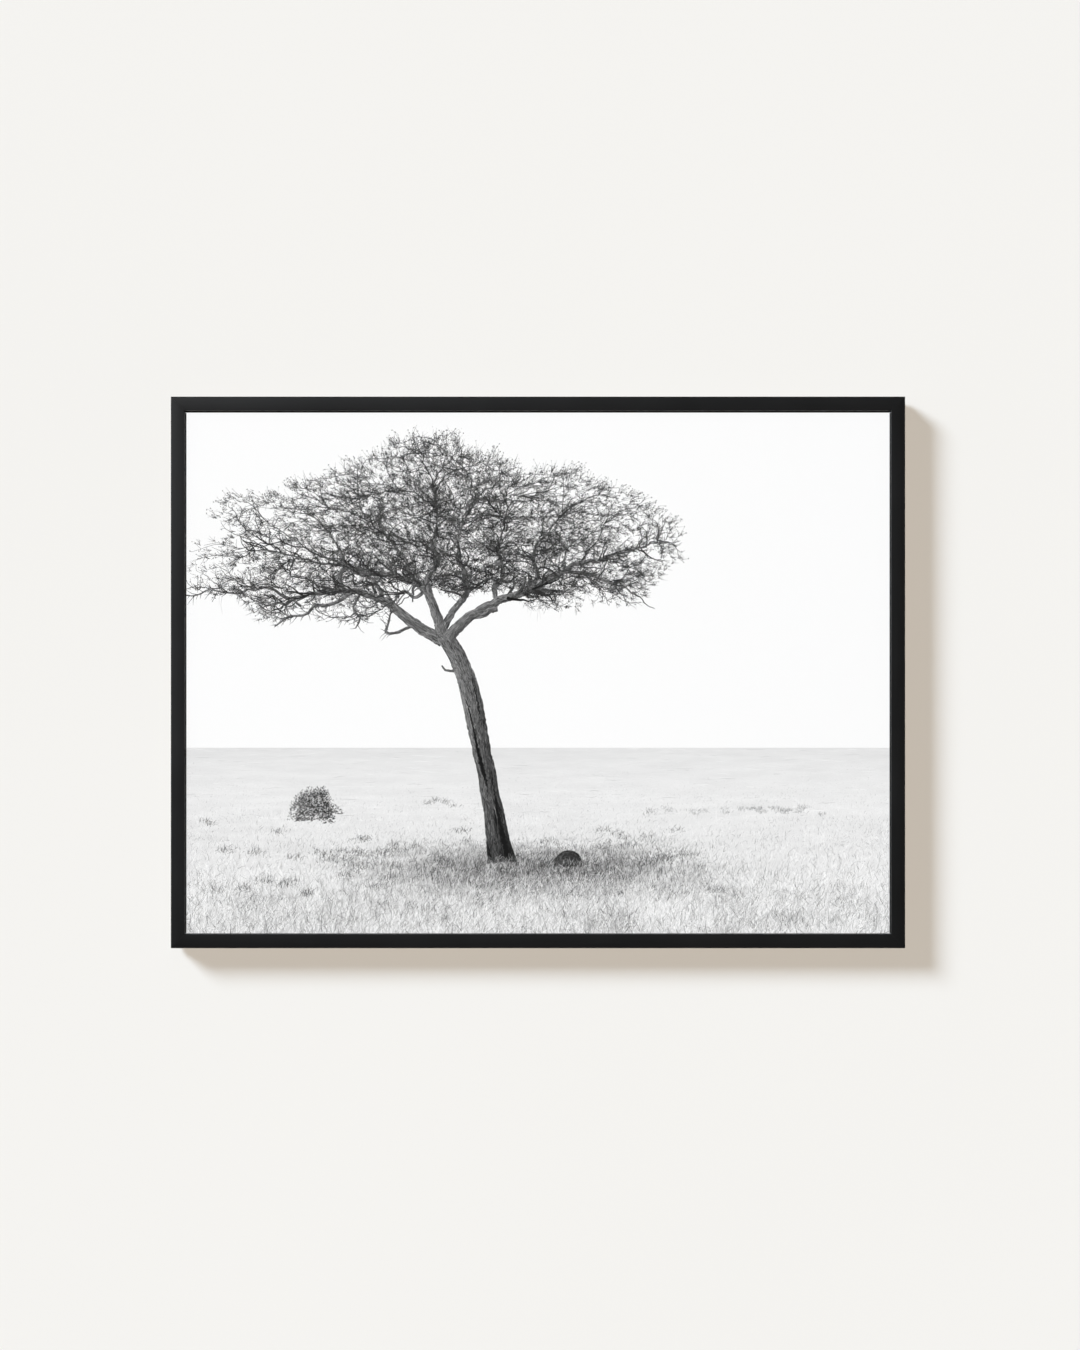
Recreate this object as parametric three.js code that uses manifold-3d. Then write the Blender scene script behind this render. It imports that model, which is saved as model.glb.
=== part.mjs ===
// A framed landscape print for hanging on a wall.
//
// Four mitred rails of a thin, deep moulding hold, from front to back, a pane of glazing, four spacer
// strips, the printed sheet, a backing card and a hardboard backing. Steel tabs driven into the rails
// keep the pack in. Two sawtooth hangers are riveted to the backing, and four rubber bumpers hold the
// frame off the wall.
//
// Units are millimetres. +X is to the right of a viewer who faces the picture, +Z is up, and +Y points
// from the picture to the wall. The origin is the centre of the backing's rear face.

import * as THREE from "three";
import Module from "manifold-3d";
import { mergeVertices } from "three/addons/utils/BufferGeometryUtils.js";

const wasm = await Module();
wasm.setup();

// ---------------------------------------------------------------- driving dimensions

const FRAME_W = 623; // outer width of the frame
const FRAME_H = 468; // outer height of the frame
const FACE_W = 12; // width of the moulding seen from the front
const WALL_T = 6; // wood left beside the rabbet
const FRAME_D = 19; // front to back depth of the moulding
const LIP_T = 3.2; // thickness of the lip that overlaps the glazing
const OUTER_ROUND = 0.9; // rounding of the outer front edge
const INNER_ROUND = 0.5; // rounding of the inner front edge
const MITRE_GAP = 0.2; // each rail stops this far short of the mitre, along its own length
const ARC_STEPS = 4; // flats in a quarter round

const SHEET_PLAY = 0.8; // clearance between the rabbet and each sheet, per side
const BACKING_T = 3;
const CARD_T = 1.5;
const PRINT_T = 0.4;
const GLAZING_T = 2;
const REST_GAP = 0.3; // between pieces that lie on each other
const SPACER_T = 0.8; // keeps the glazing off the printed face
const SPACER_SHOWS = 0.7; // how far a spacer reaches past the lip, as a thin dark line
const SPACER_DROP = 0.5; // the loose strips have settled by this much, so more of the top one shows

const TAB_REACH = 9; // how far a tab lies over the backing
const TAB_W = 8;
const TAB_T = 0.7;
const TABS_ALONG_W = 4; // on each long rail
const TABS_ALONG_H = 3; // on each short rail

const HANGER_SPAN = 46; // overall width of a sawtooth hanger
const HANGER_H = 10;
const HANGER_T = 0.8;
const HANGER_PAD = 9; // the flat end that takes the rivet
const HANGER_RAMP = 3;
const HANGER_RISE = 2.4; // how far the toothed bridge stands off the pads
const HANGER_TEETH = 9;
const TOOTH_DEPTH = 1.6;
const HANGER_X = 150; // left and right of the centre
const HANGER_DROP = 16; // below the top edge of the backing

const RIVET_R = 2.4;
const RIVET_H = 0.9;
const RIVET_CROWN = 0.7;

const BUMPER_R = 4.3;
const BUMPER_T = 6;
const BUMPER_CROWN = 1.2;
const BUMPER_INSET = 4.9; // from each outer edge of the frame
const ROUND_SEGMENTS = 20;

// Places that follow from those. Y runs from the picture to the wall.
const boardFront = -BACKING_T;
const cardFront = boardFront - REST_GAP - CARD_T;
const printFront = cardFront - REST_GAP - PRINT_T;
const spacerFront = printFront - REST_GAP - SPACER_T;
const glazingBack = spacerFront - REST_GAP;
const glazingFront = glazingBack - GLAZING_T;
const lipBack = glazingFront - REST_GAP;
const frameFront = lipBack - LIP_T;
const frameBack = frameFront + FRAME_D;

const SHEET_W = FRAME_W - 2 * (WALL_T + SHEET_PLAY);
const SHEET_H = FRAME_H - 2 * (WALL_T + SHEET_PLAY);

// ---------------------------------------------------------------- finishes

const finish = (color, roughness, metalness = 0) =>
  new THREE.MeshStandardMaterial({ color, roughness, metalness });

const BLACK_WOOD = finish(0x232323, 0.5);
const PICTURE_PAPER = finish(0xf2f2f2, 0.8);
const GREY_CARD = finish(0xb8b2a6, 0.9);
const BROWN_BOARD = finish(0x8a6844, 0.8);
const STEEL = finish(0xb4b4b0, 0.35, 1);
const BLACK_RUBBER = finish(0x1b1b1b, 0.7);
const BLACK_PLASTIC = finish(0x141414, 0.6);
const CLEAR_GLASS = new THREE.MeshStandardMaterial({
  color: 0xf4f8f6,
  roughness: 0.05,
  transparent: true,
  opacity: 0.1,
});

// ---------------------------------------------------------------- helpers

const part = new THREE.Group();

function add(name, geometry, material, [x, y, z] = [0, 0, 0], turn = 0) {
  const mesh = new THREE.Mesh(geometry, material);
  mesh.name = name;
  mesh.position.set(x, y, z);
  mesh.rotation.y = turn;
  part.add(mesh);
  return mesh;
}

// A closed three.js geometry as a manifold solid, and back.
function toSolid(geometry) {
  const bare = new THREE.BufferGeometry();
  bare.setAttribute("position", geometry.getAttribute("position"));
  bare.setIndex(geometry.index);
  const merged = mergeVertices(bare, 1e-4);
  return new wasm.Manifold(
    new wasm.Mesh({
      numProp: 3,
      vertProperties: merged.getAttribute("position").array,
      triVerts: new Uint32Array(merged.index.array),
    }),
  );
}

function toGeometry(solid) {
  const { vertProperties, triVerts } = solid.getMesh();
  const geometry = new THREE.BufferGeometry();
  geometry.setAttribute("position", new THREE.BufferAttribute(vertProperties, 3));
  geometry.setIndex(new THREE.BufferAttribute(triVerts, 1));
  return geometry;
}

// A shape drawn in X and Z, given a thickness along Y from 0 towards the wall.
function plate(shape, thickness, curveSegments = 6) {
  const geometry = new THREE.ExtrudeGeometry(shape, {
    depth: thickness,
    bevelEnabled: false,
    curveSegments,
  });
  geometry.rotateX(Math.PI / 2); // the shape's own Y becomes Z, and its depth runs along -Y
  return geometry.translate(0, thickness, 0);
}

// ---------------------------------------------------------------- the moulding

// The section of the moulding: u runs inward from the frame's outer edge, v runs from front to back.
function mouldingSection() {
  const shape = new THREE.Shape();
  shape.moveTo(OUTER_ROUND, frameFront);
  shape.lineTo(FACE_W - INNER_ROUND, frameFront);
  shape.absarc(
    FACE_W - INNER_ROUND,
    frameFront + INNER_ROUND,
    INNER_ROUND,
    -Math.PI / 2,
    0,
    false,
  );
  shape.lineTo(FACE_W, lipBack);
  shape.lineTo(WALL_T, lipBack);
  shape.lineTo(WALL_T, frameBack);
  shape.lineTo(0, frameBack);
  shape.lineTo(0, frameFront + OUTER_ROUND);
  shape.absarc(
    OUTER_ROUND,
    frameFront + OUTER_ROUND,
    OUTER_ROUND,
    Math.PI,
    (3 * Math.PI) / 2,
    false,
  );
  return shape;
}

// One rail, lying along X with its outer edge at z = offset. Its ends are cut at 45 degrees, so a
// point of the section that lies u inside the outer edge ends u short of the rail's own end.
function rail(length, offset) {
  const geometry = new THREE.ExtrudeGeometry(mouldingSection(), {
    depth: 1,
    bevelEnabled: false,
    curveSegments: ARC_STEPS,
  });
  const at = geometry.getAttribute("position");
  for (let i = 0; i < at.count; i++) {
    const [u, v, end] = [at.getX(i), at.getY(i), at.getZ(i)];
    const half = length / 2 - u - MITRE_GAP;
    at.setXYZ(i, (2 * end - 1) * half, v, offset - u);
  }
  return geometry;
}

const RAILS = [
  { name: "rail_top", length: FRAME_W, offset: FRAME_H / 2, turn: 0 },
  { name: "rail_right", length: FRAME_H, offset: FRAME_W / 2, turn: Math.PI / 2 },
  { name: "rail_bottom", length: FRAME_W, offset: FRAME_H / 2, turn: Math.PI },
  { name: "rail_left", length: FRAME_H, offset: FRAME_W / 2, turn: -Math.PI / 2 },
];
for (const { name, length, offset, turn } of RAILS)
  add(name, rail(length, offset), BLACK_WOOD, [0, 0, 0], turn);

// ---------------------------------------------------------------- the pack of sheets

// The backing is divided into an odd count of cells each way, so that the middle cell holds the origin
// and is clear of the tabs and the hangers.
const SHEETS = [
  { name: "glazing", front: glazingFront, t: GLAZING_T, cells: 1, material: CLEAR_GLASS },
  { name: "print_sheet", front: printFront, t: PRINT_T, cells: 1, material: PICTURE_PAPER },
  { name: "backing_card", front: cardFront, t: CARD_T, cells: 1, material: GREY_CARD },
  { name: "backing_board", front: boardFront, t: BACKING_T, cells: 5, material: BROWN_BOARD },
];
for (const { name, front, t, cells, material } of SHEETS) {
  const sheet = new THREE.BoxGeometry(SHEET_W, t, SHEET_H, cells, 1, cells);
  add(name, sheet, material, [0, front + t / 2, 0]);
}

// ---------------------------------------------------------------- spacer strips

// The strips along the top and bottom run the full width, and the other two fit between them.
const SPACER_W = FACE_W + SPACER_SHOWS - WALL_T - SHEET_PLAY;
const SIDE_SPACER_H = SHEET_H - 2 * (SPACER_W + REST_GAP);
const spacerY = spacerFront + SPACER_T / 2;
for (const [name, sign] of [
  ["spacer_top", 1],
  ["spacer_bottom", -1],
]) {
  const strip = new THREE.BoxGeometry(SHEET_W, SPACER_T, SPACER_W);
  const z = (sign * (SHEET_H - SPACER_W)) / 2 - SPACER_DROP;
  add(name, strip, BLACK_PLASTIC, [0, spacerY, z]);
}
for (const [name, sign] of [
  ["spacer_left", -1],
  ["spacer_right", 1],
]) {
  const strip = new THREE.BoxGeometry(SPACER_W, SPACER_T, SIDE_SPACER_H);
  const x = (sign * (SHEET_W - SPACER_W)) / 2;
  add(name, strip, BLACK_PLASTIC, [x, spacerY, -SPACER_DROP]);
}

// ---------------------------------------------------------------- retaining tabs

// A steel point: square where it leaves the rail, with a rounded tip over the backing.
function tabGeometry() {
  const half = TAB_W / 2;
  const shape = new THREE.Shape();
  shape.moveTo(-half, 0);
  shape.lineTo(half, 0);
  shape.lineTo(half, TAB_REACH - half);
  shape.absarc(0, TAB_REACH - half, half, 0, Math.PI, false);
  shape.lineTo(-half, 0);
  return plate(shape, TAB_T);
}

// Tabs are spread evenly along a rail and point inward from its rabbet.
function tabsAlong(side, count, length, offset, turn) {
  const edge = offset - WALL_T - REST_GAP;
  for (let i = 0; i < count; i++) {
    const along = ((i + 0.5) / count - 0.5) * length;
    const place = new THREE.Vector3(along, REST_GAP, edge);
    place.applyAxisAngle(new THREE.Vector3(0, 1, 0), turn);
    // the tab is drawn pointing up, and has to point from the rail to the middle
    add(`tab_${side}_${i + 1}`, tabGeometry(), STEEL, place.toArray(), turn + Math.PI);
  }
}
tabsAlong("top", TABS_ALONG_W, FRAME_W, FRAME_H / 2, 0);
tabsAlong("bottom", TABS_ALONG_W, FRAME_W, FRAME_H / 2, Math.PI);
tabsAlong("right", TABS_ALONG_H, FRAME_H, FRAME_W / 2, Math.PI / 2);
tabsAlong("left", TABS_ALONG_H, FRAME_H, FRAME_W / 2, -Math.PI / 2);

// ---------------------------------------------------------------- sawtooth hangers

// The strip seen from above: two flat pads, two ramps and a bridge that stands off the backing.
function hangerStrip() {
  const half = HANGER_SPAN / 2;
  const foot = half - HANGER_PAD;
  const bridge = foot - HANGER_RAMP;
  const rear = [
    [-half, 0],
    [-foot, 0],
    [-bridge, HANGER_RISE],
    [bridge, HANGER_RISE],
    [foot, 0],
    [half, 0],
  ];
  const shape = new THREE.Shape();
  rear.forEach(([x, y], i) => (i ? shape.lineTo(x, y) : shape.moveTo(x, y)));
  rear.reverse().forEach(([x, y]) => shape.lineTo(x, y + HANGER_T));
  const geometry = new THREE.ExtrudeGeometry(shape, {
    depth: HANGER_H,
    bevelEnabled: false,
  });
  return geometry.translate(0, 0, -HANGER_H / 2);
}

// Teeth are notches in the bridge's lower edge, where the head of a nail catches.
function hangerGeometry() {
  const bridge = HANGER_SPAN - 2 * (HANGER_PAD + HANGER_RAMP);
  const pitch = bridge / HANGER_TEETH;
  let strip = toSolid(hangerStrip());
  for (let i = 0; i < HANGER_TEETH; i++) {
    const middle = (i + 0.5) * pitch - bridge / 2;
    const notch = new THREE.Shape();
    notch.moveTo(middle - pitch / 2, -HANGER_H);
    notch.lineTo(middle + pitch / 2, -HANGER_H);
    notch.lineTo(middle + pitch / 2, -HANGER_H / 2);
    notch.lineTo(middle, -HANGER_H / 2 + TOOTH_DEPTH);
    notch.lineTo(middle - pitch / 2, -HANGER_H / 2);
    const cutter = plate(notch, 3 * HANGER_RISE).translate(0, -HANGER_RISE / 2, 0);
    strip = strip.subtract(toSolid(cutter));
  }
  return toGeometry(strip);
}

// A round piece with a domed head, standing on the plane y = 0.
function button(radius, height, crown) {
  const points = [new THREE.Vector2(0, 0), new THREE.Vector2(radius, 0)];
  for (let i = 0; i < ARC_STEPS; i++) {
    const a = (i / ARC_STEPS) * (Math.PI / 2);
    points.push(
      new THREE.Vector2(
        radius - crown * (1 - Math.cos(a)),
        height - crown + crown * Math.sin(a),
      ),
    );
  }
  points.push(new THREE.Vector2(radius - crown, height));
  points.push(new THREE.Vector2(0, height));
  return new THREE.LatheGeometry(points, ROUND_SEGMENTS);
}

const hangerZ = SHEET_H / 2 - HANGER_DROP;
for (const [side, sign] of [
  ["left", -1],
  ["right", 1],
]) {
  const x = sign * HANGER_X;
  add(`hanger_${side}`, hangerGeometry(), STEEL, [x, REST_GAP, hangerZ]);
  for (const [end, way] of [
    ["a", -1],
    ["b", 1],
  ])
    add(`rivet_${side}_${end}`, button(RIVET_R, RIVET_H, RIVET_CROWN), STEEL, [
      x + (way * (HANGER_SPAN - HANGER_PAD)) / 2,
      2 * REST_GAP + HANGER_T,
      hangerZ,
    ]);
}

// ---------------------------------------------------------------- bumpers

for (const [corner, sx, sz] of [
  ["top_left", -1, 1],
  ["top_right", 1, 1],
  ["bottom_left", -1, -1],
  ["bottom_right", 1, -1],
])
  add(`bumper_${corner}`, button(BUMPER_R, BUMPER_T, BUMPER_CROWN), BLACK_RUBBER, [
    sx * (FRAME_W / 2 - BUMPER_INSET),
    frameBack + REST_GAP,
    sz * (FRAME_H / 2 - BUMPER_INSET),
  ]);

export default part;
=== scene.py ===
# %% [markdown]
# # A framed landscape print, hung on a wall
#
# The object is a wall picture: a thin black moulding, glass, a black-and-white print of a savanna tree,
# and the hidden side that a buyer sees when the parcel is opened. The solid parts come from a packed
# CAD model. This notebook gives each of them its finish, remodels the pieces whose edges catch the
# light, draws the picture, and sets up the wall, the lights and the camera.
#
# Lengths in the CAD frame are metres: X to the right, Z up, and Y from the picture into the wall.

import math

import bpy
import numpy as np
from mathutils import Matrix, Vector


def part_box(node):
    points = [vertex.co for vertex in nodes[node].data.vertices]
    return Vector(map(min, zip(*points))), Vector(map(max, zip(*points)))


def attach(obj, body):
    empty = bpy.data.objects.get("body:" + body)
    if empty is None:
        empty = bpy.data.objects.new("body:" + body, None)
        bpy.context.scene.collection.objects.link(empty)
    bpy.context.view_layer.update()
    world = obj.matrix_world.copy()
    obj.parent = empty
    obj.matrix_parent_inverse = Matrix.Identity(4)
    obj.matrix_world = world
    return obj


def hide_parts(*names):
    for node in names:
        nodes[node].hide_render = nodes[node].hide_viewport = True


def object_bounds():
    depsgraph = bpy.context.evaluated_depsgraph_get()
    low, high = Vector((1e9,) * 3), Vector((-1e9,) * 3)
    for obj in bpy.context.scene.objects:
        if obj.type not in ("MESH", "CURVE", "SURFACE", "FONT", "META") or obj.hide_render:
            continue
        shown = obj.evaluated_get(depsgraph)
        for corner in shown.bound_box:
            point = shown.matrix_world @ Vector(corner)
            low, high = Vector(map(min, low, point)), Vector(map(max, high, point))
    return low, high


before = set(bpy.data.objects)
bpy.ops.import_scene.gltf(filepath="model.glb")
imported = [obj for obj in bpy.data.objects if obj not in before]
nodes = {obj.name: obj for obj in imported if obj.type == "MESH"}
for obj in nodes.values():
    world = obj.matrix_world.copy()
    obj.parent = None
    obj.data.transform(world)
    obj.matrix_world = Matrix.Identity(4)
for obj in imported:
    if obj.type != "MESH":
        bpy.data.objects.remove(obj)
cad_low, cad_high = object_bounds()
scene = bpy.context.scene
MM = 0.001
print("CAD box in mm:", [round(1000 * (b - a), 2) for a, b in zip(cad_low, cad_high)])

# %% [markdown]
# ## Camera
#
# A picture on a wall is nearly always shown square on, from a few steps away with a long lens, so
# that its sides stay hidden and its corners stay square. The distance follows from the lens: the
# frame has to fill about two thirds of the view's width, and the view is 4 units wide for 5 high.

# %% Camera
top_low, top_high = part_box("rail_top")
right_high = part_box("rail_right")[1]
FRAME_W = right_high.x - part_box("rail_left")[0].x
FRAME_H = top_high.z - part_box("rail_bottom")[0].z
FRAME_SHARE = 0.6801  # of the view's width
VIEW_ASPECT = 1350 / 1080
LENS = 100.0
SENSOR = 36.0
NUDGE = Vector((0.0017, 0, -0.0022))  # the picture hangs a hair left of and above the view's centre

view_height = FRAME_W / FRAME_SHARE * VIEW_ASPECT
distance = view_height * LENS / SENSOR
camera_data = bpy.data.cameras.new("Camera")
camera_data.lens = LENS
camera_data.sensor_width = SENSOR
camera_data.clip_end = 50
camera = bpy.data.objects.new("Camera", camera_data)
scene.collection.objects.link(camera)
camera.location = NUDGE + Vector((0, top_low.y - distance, 0))
camera.rotation_euler = (math.pi / 2, 0, 0)
scene.camera = camera
scene.view_settings.view_transform = "Standard"
print("camera distance in m:", round(distance, 3))

# %% [markdown]
# ## Helpers for modelling
#
# An operator works on whatever is selected, so each helper first clears the selection. Faces, edges
# and points are picked in code by where they are, which does the work of a mouse click.

# %% Helpers for modelling
TINY = 1e-6  # points that differ by less than this, in metres, count as one


def only(obj):
    """Makes obj the one selected and active object."""
    bpy.ops.object.select_all(action="DESELECT")
    obj.select_set(True)
    bpy.context.view_layer.objects.active = obj


def settle(obj):
    """Writes the object's place, turn and scale into its mesh."""
    only(obj)
    bpy.ops.object.transform_apply(location=True, rotation=True, scale=True)
    return obj


def block(name, low, high):
    """A box between two corners, from the cube primitive."""
    low, high = Vector(low), Vector(high)
    bpy.ops.object.select_all(action="DESELECT")
    bpy.ops.mesh.primitive_cube_add(size=1, location=(low + high) / 2)
    obj = bpy.context.object
    obj.name = obj.data.name = name
    obj.scale = high - low
    return settle(obj)


def pick(obj, kind, test):
    """Enters edit mode with only those points, edges or faces selected that pass the test."""
    only(obj)
    bpy.ops.object.mode_set(mode="EDIT")
    bpy.ops.mesh.select_mode(type=kind)
    bpy.ops.mesh.select_all(action="DESELECT")
    bpy.ops.object.mode_set(mode="OBJECT")
    mesh = obj.data
    if kind == "VERT":
        chosen = [v for v in mesh.vertices if test(v.co)]
    elif kind == "EDGE":
        ends = [[mesh.vertices[i].co for i in e.vertices] for e in mesh.edges]
        chosen = [e for e, (a, b) in zip(mesh.edges, ends) if test(a, b)]
    else:
        chosen = [f for f in mesh.polygons if test(f.center, f.normal)]
    for element in chosen:
        element.select = True
    bpy.ops.object.mode_set(mode="EDIT")


def done():
    bpy.ops.object.mode_set(mode="OBJECT")


def cut(obj, point, normal, fill=True, clear_outer=True):
    """Slices the whole mesh with a plane, and can drop what lies on the normal's side."""
    only(obj)
    bpy.ops.object.mode_set(mode="EDIT")
    bpy.ops.mesh.select_all(action="SELECT")
    bpy.ops.mesh.bisect(plane_co=point, plane_no=normal, use_fill=fill, clear_outer=clear_outer)
    done()


def apply_modifier(obj, kind, **settings):
    modifier = obj.modifiers.new(kind.lower(), kind)
    for key, value in settings.items():
        setattr(modifier, key, value)
    only(obj)
    bpy.ops.object.modifier_apply(modifier=modifier.name)


def smooth(obj, degrees=32):
    only(obj)
    bpy.ops.object.shade_smooth_by_angle(angle=math.radians(degrees))

# %% [markdown]
# ## Helpers for materials
#
# Every finish is built from a few noise patterns that read Object coordinates, so a pattern keeps its
# real size in metres on every piece. The helpers keep the node graphs short enough to read.

# %% Helpers for materials


def new_material(name, **shader_values):
    material = bpy.data.materials.new(name)
    material.use_nodes = True
    shader = material.node_tree.nodes["Principled BSDF"]
    for socket, value in shader_values.items():
        shader.inputs[socket.replace("_", " ")].default_value = value
    return material, material.node_tree, shader


def add_node(tree, kind, **settings):
    node = tree.nodes.new("ShaderNode" + kind)
    for key, value in settings.items():
        if key in node.inputs:
            node.inputs[key].default_value = value
        else:
            setattr(node, key, value)
    return node


def object_place(tree, scale=(1, 1, 1), turn=(0, 0, 0)):
    """Object coordinates, stretched and turned by a Mapping node."""
    place = add_node(tree, "TexCoord")
    mapping = add_node(tree, "Mapping")
    mapping.inputs["Scale"].default_value = scale
    mapping.inputs["Rotation"].default_value = turn
    tree.links.new(place.outputs["Object"], mapping.inputs["Vector"])
    return mapping.outputs["Vector"]


def noise(tree, place, per_metre, detail=4.0, roughness=0.55):
    node = add_node(tree, "TexNoise", Scale=per_metre, Detail=detail, Roughness=roughness)
    tree.links.new(place, node.inputs["Vector"])
    return node.outputs["Fac"]

# %% [markdown]
# A noise pattern is only a number from 0 to 1 at every point. A ramp turns it into colours, a range
# into a roughness, and a bump into a relief that tilts the light without moving the surface.

# %% From a pattern to a finish


def ramp(tree, factor, *stops):
    """A colour ramp through (position, colour) stops; a plain number is a grey."""
    node = add_node(tree, "ValToRGB")
    elements = node.color_ramp.elements
    while len(elements) < len(stops):
        elements.new(0.5)
    for element, (position, colour) in zip(elements, stops):
        element.position = position
        if isinstance(colour, (int, float)):
            colour = (colour, colour, colour)
        element.color = (*colour, 1)
    tree.links.new(factor, node.inputs["Fac"])
    return node.outputs["Color"]


def spread_out(tree, factor, low, high):
    """Turns a 0 to 1 pattern into numbers from low to high."""
    node = add_node(tree, "MapRange")
    node.inputs["To Min"].default_value = low
    node.inputs["To Max"].default_value = high
    tree.links.new(factor, node.inputs["Value"])
    return node.outputs["Result"]


def bump(tree, shader, height, strength, depth):
    node = add_node(tree, "Bump", Strength=strength, Distance=depth)
    tree.links.new(height, node.inputs["Height"])
    tree.links.new(node.outputs["Normal"], shader.inputs["Normal"])


def blend_colours(tree, factor, a, b, mode="MIX"):
    node = add_node(tree, "Mix", data_type="RGBA", blend_type=mode)
    for socket, value in (("A", a), ("B", b)):
        target = [i for i in node.inputs if i.name == socket and i.type == "RGBA"][0]
        if isinstance(value, tuple):
            target.default_value = (*value, 1)
        else:
            tree.links.new(value, target)
    factor_socket = [i for i in node.inputs if i.name == "Factor" and i.type == "VALUE"][0]
    if isinstance(factor, (int, float)):
        factor_socket.default_value = factor
    else:
        tree.links.new(factor, factor_socket)
    return [o for o in node.outputs if o.type == "RGBA"][0]

# %% [markdown]
# ## The moulding
#
# The frame is four lengths of hardwood moulding, sprayed satin black and joined at 45 degrees. Each
# rail starts as a box. Two slanted cuts make its mitres, a second box cuts the rabbet that holds the
# glass and the backing, and a bevel eases the two front edges by less than a millimetre. That small
# rounding is what makes real wood look different from a computer box: it draws a thin line of light.
#
# Paint hides the colour of the wood but not all of its grain, so the finish keeps a faint relief that
# runs along each rail, and an orange-peel from the spray gun.

# %% Satin black paint


def times(tree, a, b):
    """Two colours, multiplied."""
    return blend_colours(tree, 1.0, a, b, "MULTIPLY")


def coat(tree, shader, colour, gloss):
    """Gives the shader its colour and its roughness."""
    tree.links.new(colour, shader.inputs["Base Color"])
    tree.links.new(gloss, shader.inputs["Roughness"])


def black_paint(name, along):
    """Satin black sprayed on wood whose grain runs along one axis."""
    material, tree, shader = new_material(name, IOR=1.48)
    stretch = [1.0, 1.0, 1.0]
    stretch["XYZ".index(along)] = 0.03
    grain = noise(tree, object_place(tree, stretch), 900, 5, 0.6)
    peel = noise(tree, object_place(tree), 620, 2, 0.5)
    cloud = noise(tree, object_place(tree), 14, 3, 0.5)
    tint = ramp(tree, cloud, (0.3, (0.0062, 0.0059, 0.0056)), (0.7, (0.0082, 0.0078, 0.0074)))
    fibres = ramp(tree, grain, (0.3, 0.72), (0.62, 1.0))
    colour = times(tree, tint, fibres)
    coat(tree, shader, colour, spread_out(tree, cloud, 0.36, 0.5))
    bump(tree, shader, blend_colours(tree, 0.45, grain, peel), 0.16, 0.0002)
    return material


paint_across = black_paint("frame_paint_across", "X")
paint_upright = black_paint("frame_paint_upright", "Z")

# %% [markdown]
# The rail along the top is modelled first, and a half turn makes the bottom one of it. The left rail
# is made the same way at its own length, with its mitres cut the other way.

# %% Rails
lip_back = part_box("glazing")[0].y - 0.3 * MM
wall_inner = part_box("glazing")[1].x + 0.8 * MM  # from the frame's middle to the wood of the rabbet
FACE_W = top_high.z - top_low.z
WALL_T = right_high.x - wall_inner
EASED_OUTER = 0.9 * MM
EASED_INNER = 0.45 * MM
HAIRLINE = 0.03 * MM  # left open at each mitre
REACH = 10 * MM  # by which a cutting box sticks out of what it cuts


def round_edges(obj, test, offset, segments):
    """Rounds the edges that pass the test."""
    pick(obj, "EDGE", test)
    bpy.ops.mesh.bevel(offset=offset, segments=segments, affect="EDGES")
    done()


def copy_of(obj, name, place):
    """A copy with a mesh of its own, moved by a 4 x 4 matrix that is written into the mesh."""
    twin = obj.copy()
    twin.data = obj.data.copy()
    twin.name = twin.data.name = name
    scene.collection.objects.link(twin)
    twin.data.transform(place)
    return twin


def finish_piece(obj, material, slot, *replaced):
    """Gives a piece its material and its body, and hides the CAD nodes it stands for. The slot is not used.
    """
    obj.data.materials.clear()
    obj.data.materials.append(material)
    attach(obj, "root")
    if replaced:
        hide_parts(*replaced)


def make_rail(name, half_length, half_height):
    """A rail along X at the top of a frame of those half sizes, mitred at both ends."""
    front, back = top_low.y, top_high.y
    inner = half_height - FACE_W
    rail = block(name, (-half_length, front, inner), (half_length, back, half_height))
    step = inner + (FACE_W - WALL_T)
    rabbet = block("rabbet", (-1, lip_back, inner - REACH), (1, back + REACH, step))
    apply_modifier(rail, "BOOLEAN", operation="DIFFERENCE", object=rabbet, solver="EXACT")
    bpy.data.objects.remove(rabbet)
    for side in (-1, 1):
        corner = Vector((side * (half_length - HAIRLINE), 0, half_height))
        cut(rail, corner, (side, 0, -1))
    for level, radius, segments in ((half_height, EASED_OUTER, 6), (inner, EASED_INNER, 4)):
        round_edges(rail, lambda *ends: all(abs(p.y - front) + abs(p.z - level) < TINY for p in ends),
                    radius, segments)
    smooth(rail)
    return rail


half_w, half_h = FRAME_W / 2, FRAME_H / 2
rail_across = make_rail("moulding_top", half_w, half_h)
rail_upright = make_rail("moulding_right", half_h, half_w)
rail_upright.data.transform(Matrix.Rotation(math.pi / 2, 4, "Y"))
half_turn = Matrix.Rotation(math.pi, 4, "Y")
rail_below = copy_of(rail_across, "moulding_bottom", half_turn)
rail_beside = copy_of(rail_upright, "moulding_left", half_turn)
finish_piece(rail_across, paint_across, "frame_wood", "rail_top")
finish_piece(rail_below, paint_across, "frame_wood", "rail_bottom")
finish_piece(rail_upright, paint_upright, "frame_wood", "rail_right")
finish_piece(rail_beside, paint_upright, "frame_wood", "rail_left")
print("faces of a rail:", len(rail_across.data.polygons))

# %% [markdown]
# ## Glass and spacer strips
#
# The pane is clear picture glass with a low-reflection coat. It is thin and flat, so it bends no light
# that anyone would notice: a see-through shader with a faint gloss on top shows it better, and lets
# the lamps reach the print. The cut edges of the pane look green, because there the light crosses
# far more glass. Only faces that are met from outside reflect. A ray that is already in the glass meets
# its far face from inside, and there the Fresnel node would turn a slanting view into a mirror.
#
# A black strip lies between glass and print, so that the paper can't stick to the pane. It reaches
# about 0.7 mm past the wood, as a thin dark line all round the picture that is painted shade for the
# recess under the lip, and a little more at the top, as the painted shadow of the top rail on the print.

# %% Glass and spacer strips


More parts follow.
